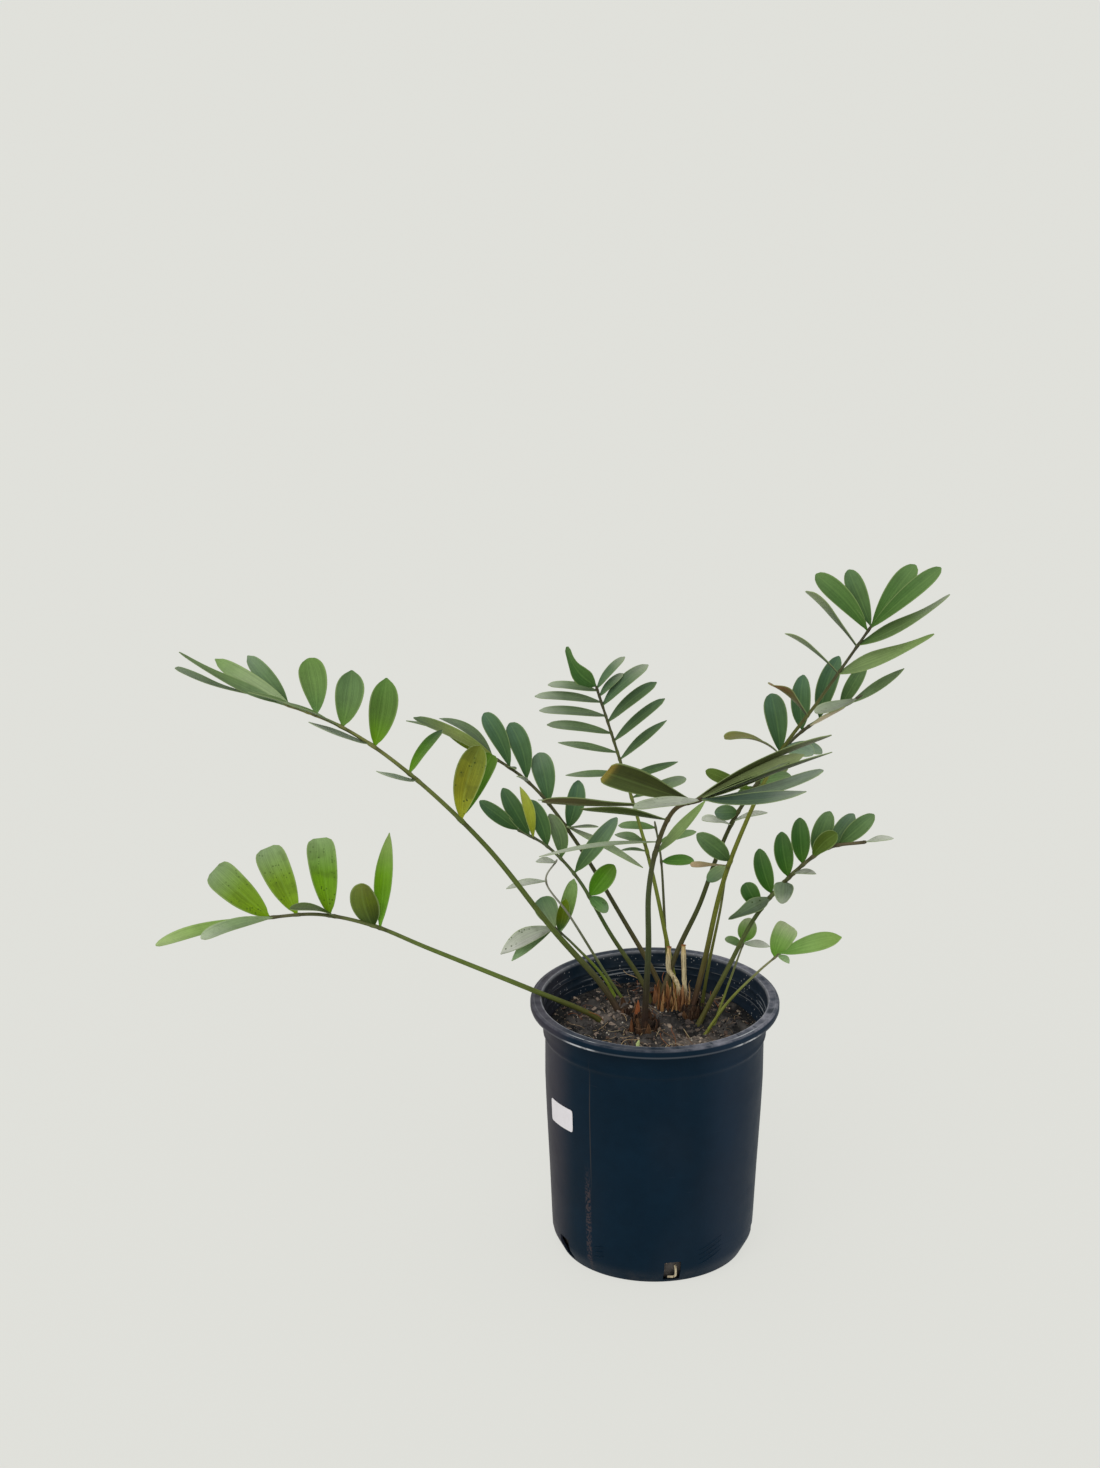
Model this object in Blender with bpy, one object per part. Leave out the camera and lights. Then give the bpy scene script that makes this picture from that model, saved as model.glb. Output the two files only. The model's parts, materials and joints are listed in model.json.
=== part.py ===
"""A cardboard palm in a black nursery pot, modelled at real size in metres with +Z up.

The origin is the middle of the pot's flat underside.  +X runs to the right of the front, -Y faces the front.
The pot is a turned shell, the potting mix fills it, four short crowns sit in the mix, and every frond is one
solid: a tapered stalk with its leaflets joined to it.
"""
import math

import bmesh
import bpy
from mathutils import Matrix, Vector

# The pot: a 10 inch nursery can.
POT_HEIGHT = 0.272
RIM_RADIUS = 0.125
RIM_WIDTH = 0.0115
LIP_DEPTH = 0.010
NECK_RADIUS = 0.110
COLLAR_HEIGHT = 0.236
HEEL_RADIUS = 0.1025
HEEL_HEIGHT = 0.020
FOOT_RADIUS = 0.094
WALL = 0.002
FLOOR = 0.0025
FOOT_EDGE = 0.002
WAIST = ((0.1055, 0.090), (0.1085, 0.150), (NECK_RADIUS, 0.190))
COLLAR_STEP = 0.0018
COLLAR_FLARE = 0.003
LIP_EDGE = 0.0025
LIP_THICKNESS = 0.007
POT_SEGMENTS = 40

DRAIN_COUNT = 5
DRAIN_FIRST = 10.0
DRAIN_WIDTH = 0.017
DRAIN_BOTTOM = 0.0035
DRAIN_TOP = 0.027
DRAIN_REACH = 0.040

LABEL_WIDTH = 0.040
LABEL_HEIGHT = 0.026
LABEL_THICKNESS = 0.0004
LABEL_ANGLE = -59.5
LABEL_CENTRE_HEIGHT = 0.164
LABEL_TILT = 0.002
LABEL_COLUMNS = 6

GAP = 0.0003
MIX_EDGE_HEIGHT = 0.236
MIX_MOUND = 0.007
MIX_MOUND_SPREAD = 0.060
MIX_MOUND_BACK = 0.010
MIX_HOLLOW = 0.006
MIX_HOLLOW_AT = (0.045, -0.035)
MIX_HOLLOW_SPREAD = 0.018
MIX_RIGHT_FALL = 0.05
MIX_RINGS = 5
CROWN_TOP = 0.010
CROWN_DEPTH = 0.014
STRIP_BOW = 0.08
STRIP_THINNING = 0.3

STALK_SIDES = 6
LEAF_THICKNESS = 0.0012
LEAF_SHAPE = ((0.0, 0.07), (0.22, 0.55), (0.58, 1.0), (0.87, 0.76), (1.0, 0.22))
NARROW_SHAPE = ((0.0, 0.10), (0.22, 0.68), (0.50, 1.0), (0.82, 0.66), (1.0, 0.12))
LEAF_BOW = 0.05

# Directions that a leaflet's upper side can face.
FRONT = (0.0, -1.0, 0.25)
UP = (0.0, -0.15, 1.0)
EDGE_ON = (0.0, 0.42, 0.90)
UNDER = (0.0, 0.90, 0.40)


def row(at, reach, width, face, shape=LEAF_SHAPE):
    """One leaflet, or several alike: where each starts along the stalk, its base-to-tip vector, and their width
    and the way they face."""
    if isinstance(at, float):
        at, reach = (at,), (reach,)
    return dict(at=at, reach=reach, width=width, face=face, shape=shape)


# Every frond: the stalk's route from its foot in the mix to its tip, its radius at foot and tip, and its rows.
FRONDS = {
    "frond_low_left": dict(
        route=((-0.048, 0.012, 0.226), (-0.062, 0.008, 0.248), (-0.125, 0.000, 0.281), (-0.225, -0.004, 0.327),
               (-0.281, -0.008, 0.353), (-0.335, -0.010, 0.366), (-0.390, -0.010, 0.361)),
        radius=(0.0034, 0.0016),
        rows=(
            row(0.690, (0.012, 0.020, 0.088), 0.028, (-0.85, -0.50, 0.10)),
            row(0.710, (-0.012, -0.030, 0.058), 0.028, UNDER),
            row((0.828, 0.910, 0.982), ((-0.011, 0.015, 0.074), (-0.026, 0.012, 0.065), (-0.051, 0.010, 0.048)),
                0.031, FRONT),
            row(0.850, (-0.040, -0.030, 0.021), 0.026, EDGE_ON),
            row((0.970, 1.000), ((-0.064, -0.034, -0.008), (-0.106, -0.012, -0.027)), 0.024, UP),
        )),
    "frond_upper_left": dict(
        route=((-0.025, 0.022, 0.226), (-0.054, 0.015, 0.280), (-0.103, 0.005, 0.343), (-0.168, -0.010, 0.437),
               (-0.239, -0.020, 0.516), (-0.306, -0.028, 0.571), (-0.382, -0.030, 0.605)),
        radius=(0.0038, 0.0014),
        rows=(
            row((0.556, 0.562), ((0.020, -0.002, 0.076), (0.033, 0.034, 0.050)), 0.028, FRONT),
            row(0.695, (0.030, 0.030, 0.030), 0.020, (-0.70, -0.50, 0.50)),
            row((0.775, 0.845, 0.897), ((0.013, 0.020, 0.064), (0.011, 0.024, 0.050), (-0.009, 0.024, 0.048)),
                0.031, FRONT),
            row((0.950, 0.970), ((-0.039, 0.022, 0.036), (-0.060, 0.012, 0.036)), 0.021, (0.0, -0.80, 0.60)),
            row((0.672, 0.785, 0.850, 0.915), ((-0.038, -0.030, 0.022), (-0.056, -0.025, 0.034),
                                                   (-0.052, -0.028, 0.035), (-0.054, -0.026, 0.030)),
                0.024, (0.10, 0.32, 0.92)),
            row((0.985, 1.000), ((-0.085, -0.004, 0.048), (-0.072, -0.022, 0.036)), 0.022, (0.20, 0.05, 1.0)),
        )),
    "frond_left_middle": dict(
        route=((0.016, 0.042, 0.226), (0.004, 0.050, 0.268), (-0.030, 0.060, 0.329), (-0.080, 0.074, 0.412),
               (-0.127, 0.084, 0.469), (-0.194, 0.090, 0.514)),
        radius=(0.0033, 0.0013),
        rows=(
            row((0.612, 0.700, 0.788, 0.845), ((0.009, 0.020, 0.041), (-0.008, 0.020, 0.043),
                                                   (-0.015, 0.020, 0.050), (-0.025, 0.018, 0.048)), 0.022, FRONT),
            row((0.900, 0.985), ((-0.050, 0.012, 0.030), (-0.044, 0.004, 0.018)), 0.018, (0.0, -0.80, 0.60)),
            row(0.870, (-0.074, -0.018, 0.048), 0.022, (0.30, 0.20, 0.90)),
            row(0.600, (0.074, -0.046, -0.026), 0.020, (0.10, 0.35, 0.90), NARROW_SHAPE),
            row(0.625, (0.023, -0.028, 0.013), 0.014, EDGE_ON, NARROW_SHAPE),
            row((0.690, 0.760, 0.835), ((-0.026, -0.028, 0.038), (-0.030, -0.026, 0.037),
                                            (-0.036, -0.024, 0.034)), 0.018, EDGE_ON),
        )),
    "frond_left_inner": dict(
        route=((0.004, 0.033, 0.226), (-0.010, 0.035, 0.269), (-0.046, 0.036, 0.325), (-0.080, 0.036, 0.384),
               (-0.108, 0.034, 0.420), (-0.138, 0.034, 0.439)),
        radius=(0.0028, 0.0012),
        rows=(
            row((0.592, 0.712), ((0.029, 0.010, 0.029), (0.042, 0.006, 0.055)), 0.021, (-0.25, -1.0, 0.20)),
            row((0.792, 0.865, 0.945, 0.992), ((-0.013, 0.010, 0.036), (-0.016, 0.010, 0.038),
                                                   (-0.025, 0.008, 0.037), (-0.039, 0.002, 0.024)), 0.017, FRONT),
            row(0.915, (-0.011, -0.014, 0.050), 0.014, (0.70, -0.70, 0.10), NARROW_SHAPE),
            row((0.580, 0.680), ((0.018, -0.012, -0.010), (-0.020, -0.026, 0.034)), 0.014, (0.0, -0.30, 1.0)),
        )),
    "frond_left_small": dict(
        route=((-0.028, 0.048, 0.226), (-0.050, 0.060, 0.266), (-0.080, 0.066, 0.299), (-0.101, 0.068, 0.319)),
        radius=(0.0020, 0.0011),
        rows=(
            row((0.960, 0.930), ((-0.017, 0.012, 0.022), (0.020, 0.010, 0.043)), 0.017, FRONT),
            row((0.980, 1.000), ((-0.057, -0.030, -0.016), (-0.043, -0.026, -0.026)), 0.020, UP),
            row(0.945, (0.003, -0.008, 0.030), 0.012, (0.10, -0.90, 0.30)),
        )),
    "frond_left_thin": dict(
        route=((-0.014, 0.040, 0.226), (-0.042, 0.050, 0.264), (-0.086, 0.052, 0.336), (-0.110, 0.052, 0.374),
               (-0.099, 0.052, 0.398)),
        radius=(0.0018, 0.0008),
        rows=(
            row((0.880, 0.985), ((-0.040, -0.010, -0.006), (-0.026, -0.004, 0.002)), 0.012, UP, NARROW_SHAPE),
        )),
    "frond_back_tall": dict(
        route=((0.029, 0.050, 0.226), (0.016, 0.062, 0.293), (-0.001, 0.075, 0.373), (-0.018, 0.090, 0.431),
               (-0.041, 0.105, 0.500), (-0.061, 0.114, 0.558)),
        radius=(0.0030, 0.0012),
        rows=(
            row((0.735, 0.797, 0.855, 0.908, 0.950, 0.985),
                ((-0.058, -0.010, 0.006), (-0.060, -0.010, 0.019), (-0.064, -0.010, 0.018),
                 (-0.067, -0.010, 0.015), (-0.066, -0.010, 0.015), (-0.050, -0.010, 0.015)),
                0.016, (0.15, -0.10, 1.0), NARROW_SHAPE),
            row((0.720, 0.775, 0.832, 0.890, 0.945, 0.975),
                ((0.054, 0.004, 0.014), (0.048, 0.004, 0.042), (0.050, 0.004, 0.045),
                 (0.048, 0.004, 0.043), (0.045, 0.004, 0.042), (0.040, 0.004, 0.028)),
                0.017, (-0.60, -0.35, 0.70), NARROW_SHAPE),
            row(0.660, (0.053, 0.002, 0.022), 0.018, (-0.30, -0.40, 0.85), NARROW_SHAPE),
            row(0.995, (0.028, 0.002, 0.032), 0.014, (-0.60, -0.35, 0.70), NARROW_SHAPE),
            row(1.000, (-0.026, 0.002, 0.042), 0.015, (-0.40, -0.80, 0.40)),
            row(0.530, (-0.030, -0.002, 0.008), 0.017, (0.0, -0.40, 0.9), NARROW_SHAPE),
        )),
    "frond_front": dict(
        route=((-0.010, -0.012, 0.226), (-0.010, -0.020, 0.271), (-0.008, -0.034, 0.340), (-0.009, -0.056, 0.410),
               (-0.002, -0.076, 0.464), (0.014, -0.101, 0.511), (0.038, -0.132, 0.535)),
        radius=(0.0040, 0.0020),
        rows=(
            row(0.680, (0.046, 0.004, 0.060), 0.021, (-0.60, -0.50, 0.60), NARROW_SHAPE),
            row(0.735, (-0.100, -0.018, -0.006), 0.030, (0.0, 0.28, 0.95), NARROW_SHAPE),
            row(0.820, (-0.108, -0.024, 0.034), 0.032, (0.20, 0.60, 0.75), NARROW_SHAPE),
            row(0.940, (-0.136, -0.002, 0.006), 0.028, (0.0, 0.60, 0.80), NARROW_SHAPE),
            row(0.960, (-0.080, -0.032, 0.044), 0.036, (0.0, 0.95, 0.30)),
            row(0.990, (-0.060, -0.046, 0.008), 0.034, UP),
            row(0.955, (0.127, 0.020, 0.058), 0.028, (-0.30, 0.60, 0.70), NARROW_SHAPE),
            row(0.975, (0.124, -0.010, 0.055), 0.028, (-0.30, 0.42, 0.80), NARROW_SHAPE),
            row(0.985, (0.116, -0.034, 0.047), 0.027, (-0.30, -0.12, 1.0)),
            row(1.000, (0.100, -0.054, 0.034), 0.027, (-0.15, -0.15, 1.0)),
        )),
    "frond_right_tall": dict(
        route=((0.034, 0.029, 0.226), (0.049, 0.030, 0.290), (0.066, 0.030, 0.377), (0.0875, 0.030, 0.444),
               (0.120, 0.030, 0.520), (0.158, 0.030, 0.578), (0.208, 0.030, 0.656)),
        radius=(0.0040, 0.0013),
        rows=(
            row((0.985, 0.997), ((-0.055, 0.004, 0.056), (-0.025, 0.010, 0.053)), 0.020, (0.10, -1.0, 0.15)),
            row((0.998, 0.975), ((0.043, 0.008, 0.058), (0.068, -0.006, 0.068)), 0.020, (-0.35, -0.85, 0.40)),
            row((0.935, 0.870), ((0.084, -0.010, 0.054), (0.090, -0.012, 0.042)), 0.024, (-0.45, -0.10, 0.85),
                NARROW_SHAPE),
            row((0.940, 0.868, 0.752), ((-0.051, -0.006, 0.058), (-0.053, -0.008, 0.040),
                                            (-0.036, -0.010, 0.030)),
                0.020, (0.45, 0.42, 0.70), NARROW_SHAPE),
            row(0.662, (-0.010, 0.018, 0.050), 0.023, (0.10, -1.0, 0.20)),
            row(0.652, (-0.048, -0.020, 0.022), 0.018, (0.20, 0.50, 0.80), NARROW_SHAPE),
            row(0.675, (0.026, -0.040, 0.008), 0.023, (-0.10, -0.35, 0.95)),
        )),
    "frond_right_second": dict(
        route=((-0.004, 0.020, 0.226), (0.022, 0.044, 0.298), (0.046, 0.060, 0.347), (0.066, 0.072, 0.402),
               (0.090, 0.080, 0.450), (0.141, 0.084, 0.520), (0.207, 0.084, 0.564)),
        radius=(0.0036, 0.0013),
        rows=(
            row((0.835, 0.885), ((0.000, 0.016, 0.056), (0.018, 0.014, 0.060)), 0.020, FRONT),
            row(0.935, (0.028, 0.012, 0.048), 0.015, (-0.30, -0.90, 0.30)),
            row(0.961, (0.051, -0.006, 0.040), 0.015, (-0.40, -0.35, 0.80)),
            row((0.640, 0.645), ((-0.050, 0.010, 0.018), (0.000, 0.010, 0.019)), 0.018, FRONT),
            row(0.583, (-0.020, -0.006, 0.004), 0.018, FRONT),
            row((0.485, 0.456), ((-0.026, -0.006, 0.018), (0.003, -0.012, 0.022)), 0.018, FRONT),
            row((0.539, 0.549), ((-0.030, -0.022, 0.014), (0.034, -0.012, 0.014)), 0.018, UP),
            row(0.780, (0.030, -0.034, 0.016), 0.022, (-0.10, -0.30, 0.95)),
            row(0.984, (-0.046, -0.030, 0.003), 0.018, (-0.10, 0.60, 0.75)),
            row(0.850, (0.033, -0.026, 0.030), 0.016, EDGE_ON),
        )),
    "frond_back_thin": dict(
        route=((0.020, 0.064, 0.226), (0.013, 0.076, 0.300), (0.008, 0.090, 0.380), (0.001, 0.100, 0.422)),
        radius=(0.0018, 0.0010),
        rows=(
            row((0.800, 0.890), ((0.031, -0.008, 0.010), (0.037, -0.006, 0.014)), 0.014, (0.0, -0.60, 0.8),
                NARROW_SHAPE),
            row(0.965, (-0.038, 0.006, 0.000), 0.013, (0.0, -0.50, 0.8), NARROW_SHAPE),
        )),
    "frond_right_thin": dict(
        route=((0.048, 0.050, 0.226), (0.056, 0.053, 0.283), (0.067, 0.055, 0.345), (0.072, 0.055, 0.380)),
        radius=(0.0020, 0.0010),
        rows=(
            row(0.965, (-0.021, -0.008, -0.008), 0.016, (0.0, -0.80, 0.6)),
            row(0.985, (-0.032, -0.004, 0.004), 0.009, (0.0, -0.80, 0.6), NARROW_SHAPE),
        )),
    "frond_right_low": dict(
        route=((0.040, 0.011, 0.226), (0.075, 0.005, 0.302), (0.102, 0.000, 0.358), (0.128, -0.005, 0.398),
               (0.165, -0.013, 0.435), (0.204, -0.020, 0.444)),
        radius=(0.0031, 0.0012),
        rows=(
            row(0.540, (-0.023, 0.002, 0.024), 0.018, FRONT),
            row((0.605, 0.690, 0.760, 0.812), ((-0.012, 0.015, 0.041), (-0.006, 0.015, 0.043),
                                                   (-0.002, 0.015, 0.045), (0.018, 0.015, 0.041)), 0.020, FRONT),
            row((0.870, 0.905), ((0.018, 0.012, 0.028), (0.031, 0.008, 0.027)), 0.018, (0.0, -0.90, 0.45)),
            row(0.805, (0.027, -0.014, 0.031), 0.019, (-0.20, -0.90, 0.30)),
            row(1.000, (0.023, -0.006, 0.005), 0.011, (0.0, -0.30, 0.95)),
            row(0.670, (-0.003, -0.030, -0.011), 0.022, (0.0, -0.50, 0.85)),
            row(0.730, (0.022, -0.028, 0.014), 0.020, (-0.05, -0.45, 0.9)),
            row(0.590, (-0.042, -0.028, -0.012), 0.017, (0.0, -0.25, 0.95)),
        )),
    "frond_right_sprig": dict(
        route=((0.046, -0.008, 0.226), (0.071, -0.020, 0.274), (0.100, -0.029, 0.311), (0.122, -0.031, 0.333)),
        radius=(0.0018, 0.0010),
        rows=(
            row(0.950, (0.012, 0.006, 0.030), 0.025, FRONT),
            row(1.000, (0.056, -0.010, 0.022), 0.021, (0.0, -0.70, 0.7)),
            row(0.985, (0.018, -0.022, -0.004), 0.013, UP),
        )),
    "frond_right_bud": dict(
        route=((0.056, 0.003, 0.226), (0.074, 0.012, 0.280), (0.089, 0.018, 0.322)),
        radius=(0.0016, 0.0009),
        rows=(
            row(1.000, (0.001, 0.002, 0.023), 0.019, FRONT),
            row((0.970, 0.990), ((-0.020, -0.002, 0.002), (0.022, -0.012, 0.004)), 0.010, (0.0, -0.45, 0.9)),
        )),
}

# Crowns: centre and radius of each short trunk at the surface of the mix.
CROWNS = {
    "crown_front": (-0.010, -0.009, 0.0125),
    "crown_left": (-0.027, 0.021, 0.0100),
    "crown_back": (0.007, 0.038, 0.0160),
    "crown_right": (0.036, 0.028, 0.0120),
}

# Cut stubs and dry bracts stand in the mix: foot, top, width at foot and top, thickness.
STRIPS = {
    "cut_stub_a": ((0.021, 0.017, 0.226), (0.015, 0.012, 0.290), 0.0060, 0.0052, 0.0040),
    "cut_stub_b": ((0.032, 0.006, 0.226), (0.033, 0.009, 0.288), 0.0054, 0.0050, 0.0040),
    "bract_front_left": ((-0.019, -0.030, 0.228), (-0.016, -0.034, 0.262), 0.0060, 0.0024, 0.0016),
    "bract_front": ((-0.008, -0.032, 0.228), (-0.009, -0.034, 0.266), 0.0064, 0.0024, 0.0016),
    "bract_back_left": ((0.003, 0.012, 0.228), (0.001, 0.010, 0.268), 0.0070, 0.0026, 0.0018),
    "bract_back": ((0.014, 0.011, 0.228), (0.013, 0.008, 0.270), 0.0070, 0.0026, 0.0018),
    "bract_right": ((0.024, -0.004, 0.228), (0.025, -0.006, 0.264), 0.0060, 0.0024, 0.0018),
}

COLOURS = {
    "pot": ((0.008, 0.017, 0.030, 1.0), 0.42),
    "mix": ((0.045, 0.028, 0.020, 1.0), 0.95),
    "label": ((0.82, 0.80, 0.84, 1.0), 0.60),
    "crown": ((0.11, 0.065, 0.035, 1.0), 0.90),
    "strip": ((0.42, 0.26, 0.12, 1.0), 0.85),
    "frond": ((0.055, 0.150, 0.040, 1.0), 0.45),
}


def clear_scene():
    for old in list(bpy.data.objects):
        bpy.data.objects.remove(old, do_unlink=True)


def make_material(name, kind):
    colour, roughness = COLOURS[kind]
    material = bpy.data.materials.new(name)
    material.use_nodes = True
    shader = material.node_tree.nodes["Principled BSDF"]
    shader.inputs["Base Color"].default_value = colour
    shader.inputs["Roughness"].default_value = roughness
    shader.inputs["Metallic"].default_value = 0.0
    material.diffuse_color = colour
    return material


def add_object(name, bm, kind=None):
    """Turn a bmesh into a named object with its own material, or into a plain helper without one."""
    mesh = bpy.data.meshes.new(name)
    bm.to_mesh(mesh)
    bm.free()
    made = bpy.data.objects.new(name, mesh)
    bpy.context.scene.collection.objects.link(made)
    if kind:
        mesh.materials.append(make_material(name, kind))
        mesh.shade_smooth()
        mesh.set_sharp_from_angle(angle=math.radians(35.0))
    return made


def combine(target, helpers, operation):
    """Join helpers to the target, or cut them from it, and keep the result as the target's own mesh."""
    group = bpy.data.collections.new(target.name + "_helpers")
    bpy.context.scene.collection.children.link(group)
    for helper in helpers:
        group.objects.link(helper)
    modifier = target.modifiers.new(operation.lower(), "BOOLEAN")
    modifier.operation = operation
    modifier.solver = "EXACT"
    modifier.operand_type = "COLLECTION"
    modifier.collection = group
    graph = bpy.context.evaluated_depsgraph_get()
    result = bpy.data.meshes.new_from_object(target.evaluated_get(graph))
    target.modifiers.clear()
    target.data = result
    for helper in helpers:
        bpy.data.objects.remove(helper, do_unlink=True)
    bpy.data.collections.remove(group)


def smooth_route(points, steps=12):
    """A smooth curve through the route's points, as closely spaced points."""
    knots = [Vector(point) for point in points]
    knots = [2.0 * knots[0] - knots[1]] + knots + [2.0 * knots[-1] - knots[-2]]
    curve = []
    for a, b, c, d in zip(knots, knots[1:], knots[2:], knots[3:]):
        for step in range(steps):
            t = step / steps
            curve.append(0.5 * (2.0 * b + (c - a) * t + (2.0 * a - 5.0 * b + 4.0 * c - d) * t ** 2
                                + (3.0 * b - a - 3.0 * c + d) * t ** 3))
    curve.append(knots[-2])
    return curve


def point_at(curve, share):
    """The point and direction at a share of the curve's length."""
    lengths = [(b - a).length for a, b in zip(curve, curve[1:])]
    left = share * sum(lengths)
    for index, length in enumerate(lengths):
        if left <= length or index == len(lengths) - 1:
            start, end = curve[index], curve[index + 1]
            return start.lerp(end, left / length), (end - start).normalized()
        left -= length


def loft(bm, rings):
    """Skin a list of closed rings of points and cap both ends."""
    made = [[bm.verts.new(point) for point in ring] for ring in rings]
    count = len(made[0])
    for low, high in zip(made, made[1:]):
        for i in range(count):
            j = (i + 1) % count
            bm.faces.new((low[i], low[j], high[j], high[i]))
    bm.faces.new(list(reversed(made[0])))
    bm.faces.new(made[-1])
    bmesh.ops.recalc_face_normals(bm, faces=bm.faces)


def stalk_rings(curve, radius, knots, extra=0.0):
    """Rings round a stalk: two for each point of its route, evenly spread."""
    rings = []
    for step in range(2 * knots):
        share = step / (2 * knots - 1)
        centre, along = point_at(curve, share)
        side = along.cross(Vector((0.0, 1.0, 0.0))).normalized()
        back = side.cross(along)
        size = radius[0] + (radius[1] - radius[0]) * share + extra
        angles = [2.0 * math.pi * i / STALK_SIDES for i in range(STALK_SIDES)]
        rings.append([centre + size * (side * math.cos(a) + back * math.sin(a)) for a in angles])
    return rings


def make_leaflet(base, reach, width, face, shape):
    """One leaflet: a thin lens-shaped blade along a slightly bowed midrib."""
    along = reach.normalized()
    upper = (face - along * face.dot(along)).normalized()
    across = along.cross(upper)
    rings = []
    for share, spread in shape:
        middle = base + reach * share + upper * (4.0 * LEAF_BOW * reach.length * share * (1.0 - share))
        half = 0.5 * width * spread
        thick = 0.5 * LEAF_THICKNESS * (1.0 if share < 1.0 else 0.7)
        rings.append([middle + across * half, middle + upper * thick, middle - across * half,
                      middle - upper * thick])
    bm = bmesh.new()
    loft(bm, rings)
    return add_object("leaflet", bm)


def make_frond(name, route, radius, rows):
    curve = smooth_route(route)
    bm = bmesh.new()
    loft(bm, stalk_rings(curve, radius, len(route)))
    frond = add_object(name, bm, "frond")
    leaflets = []
    for alike in rows:
        for at, reach in zip(alike["at"], alike["reach"], strict=True):
            base, _ = point_at(curve, at)
            leaflets.append(make_leaflet(base, Vector(reach), alike["width"], Vector(alike["face"]),
                                         alike["shape"]))
    combine(frond, leaflets, "UNION")
    return frond


def turned(name, profile, kind, segments=POT_SEGMENTS):
    """Turn a profile of (radius, height) points round the pot's axis; it starts and ends on the axis."""
    bm = bmesh.new()
    verts = [bm.verts.new((radius, 0.0, height)) for radius, height in profile]
    edges = [bm.edges.new(pair) for pair in zip(verts, verts[1:])]
    bmesh.ops.spin(bm, geom=verts + edges, cent=(0, 0, 0), axis=(0, 0, 1), angle=2.0 * math.pi,
                   steps=segments, use_merge=True)
    bmesh.ops.remove_doubles(bm, verts=bm.verts, dist=1e-6)
    bmesh.ops.recalc_face_normals(bm, faces=bm.faces)
    return add_object(name, bm, kind)


def outer_wall():
    """The outside of the pot from the foot to just under the lip."""
    return [(FOOT_RADIUS - FOOT_EDGE, 0.0), (FOOT_RADIUS, FOOT_EDGE), (HEEL_RADIUS, HEEL_HEIGHT), *WAIST,
            (NECK_RADIUS, COLLAR_HEIGHT - COLLAR_FLARE), (NECK_RADIUS + COLLAR_STEP, COLLAR_HEIGHT),
            (NECK_RADIUS + COLLAR_FLARE, POT_HEIGHT - LIP_DEPTH)]


def wall_radius(height):
    """The outside radius of the pot's wall at a height."""
    wall = outer_wall()
    for (low_radius, low), (high_radius, high) in zip(wall, wall[1:]):
        if low <= height <= high:
            return low_radius + (high_radius - low_radius) * (height - low) / (high - low)


def inner_wall():
    return [(max(radius - WALL, 0.0), max(height, FLOOR)) for radius, height in outer_wall()[1:]]


def make_pot():
    lip = POT_HEIGHT - LIP_DEPTH
    inner_lip = RIM_RADIUS - RIM_WIDTH
    profile = [(0.0, 0.0)] + outer_wall()
    profile += [(RIM_RADIUS - LIP_EDGE, lip), (RIM_RADIUS, lip + LIP_EDGE), (RIM_RADIUS, POT_HEIGHT - LIP_EDGE),
                (RIM_RADIUS - LIP_EDGE, POT_HEIGHT), (inner_lip + LIP_EDGE, POT_HEIGHT),
                (inner_lip, lip + LIP_THICKNESS)]
    profile += list(reversed(inner_wall())) + [(0.0, FLOOR)]
    pot = turned("nursery_pot", profile, "pot")
    holes = []
    for index in range(DRAIN_COUNT):
        angle = math.radians(DRAIN_FIRST + 360.0 * index / DRAIN_COUNT)
        bm = bmesh.new()
        bmesh.ops.create_cube(bm, size=1.0)
        bmesh.ops.scale(bm, vec=(DRAIN_WIDTH, DRAIN_REACH, DRAIN_TOP - DRAIN_BOTTOM), verts=bm.verts)
        bmesh.ops.translate(bm, vec=(0.0, -HEEL_RADIUS, 0.5 * (DRAIN_TOP + DRAIN_BOTTOM)), verts=bm.verts)
        bmesh.ops.rotate(bm, cent=(0, 0, 0), matrix=Matrix.Rotation(angle, 3, "Z"), verts=bm.verts)
        holes.append(add_object("drain_cutter", bm))
    combine(pot, holes, "DIFFERENCE")
    return pot


def make_strip(name, foot, top, wide, narrow, thick, kind="strip", extra=0.0):
    """A stub or bract: a tapered strip that leans from its foot to its top."""
    foot, top = Vector(foot), Vector(top)
    along = (top - foot).normalized()
    if extra:
        foot = foot - along * extra
    across = along.cross(Vector((0.0, 1.0, 0.0))).normalized()
    depth = across.cross(along)
    rings = []
    for share in (0.0, 0.5, 1.0):
        middle = foot.lerp(top, share) + depth * (STRIP_BOW * (top - foot).length * share * (1.0 - share))
        half = 0.5 * (wide + (narrow - wide) * share) + extra
        deep = 0.5 * thick * (1.0 - STRIP_THINNING * share) + extra
        rings.append([middle + across * half, middle + depth * deep, middle - across * half,
                      middle - depth * deep])
    bm = bmesh.new()
    loft(bm, rings)
    return add_object(name, bm, kind)


def make_crown(name, x, y, radius, kind="crown", extra=0.0):
    """A short trunk: a squat barrel, round on top, that stands in the mix."""
    base = MIX_EDGE_HEIGHT + MIX_MOUND
    bm = bmesh.new()
    bmesh.ops.create_uvsphere(bm, u_segments=12, v_segments=6, radius=1.0)
    bmesh.ops.scale(bm, vec=(radius + extra, radius + extra, 0.5 * (CROWN_TOP + CROWN_DEPTH) + extra),
                    verts=bm.verts)
    bmesh.ops.translate(bm, vec=(x, y, base + 0.5 * (CROWN_TOP - CROWN_DEPTH)), verts=bm.verts)
    return add_object(name, bm, kind)


def mix_height(x, y):
    """The surface of the mix: a low mound round the crowns with a hollow at the right."""
    mound = MIX_MOUND * math.exp(-(math.hypot(x, y - MIX_MOUND_BACK) / MIX_MOUND_SPREAD) ** 2)
    away = math.hypot(x - MIX_HOLLOW_AT[0], y - MIX_HOLLOW_AT[1])
    hollow = MIX_HOLLOW * math.exp(-(away / MIX_HOLLOW_SPREAD) ** 2)
    return MIX_EDGE_HEIGHT + mound - hollow - MIX_RIGHT_FALL * max(x, 0.0)


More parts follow.
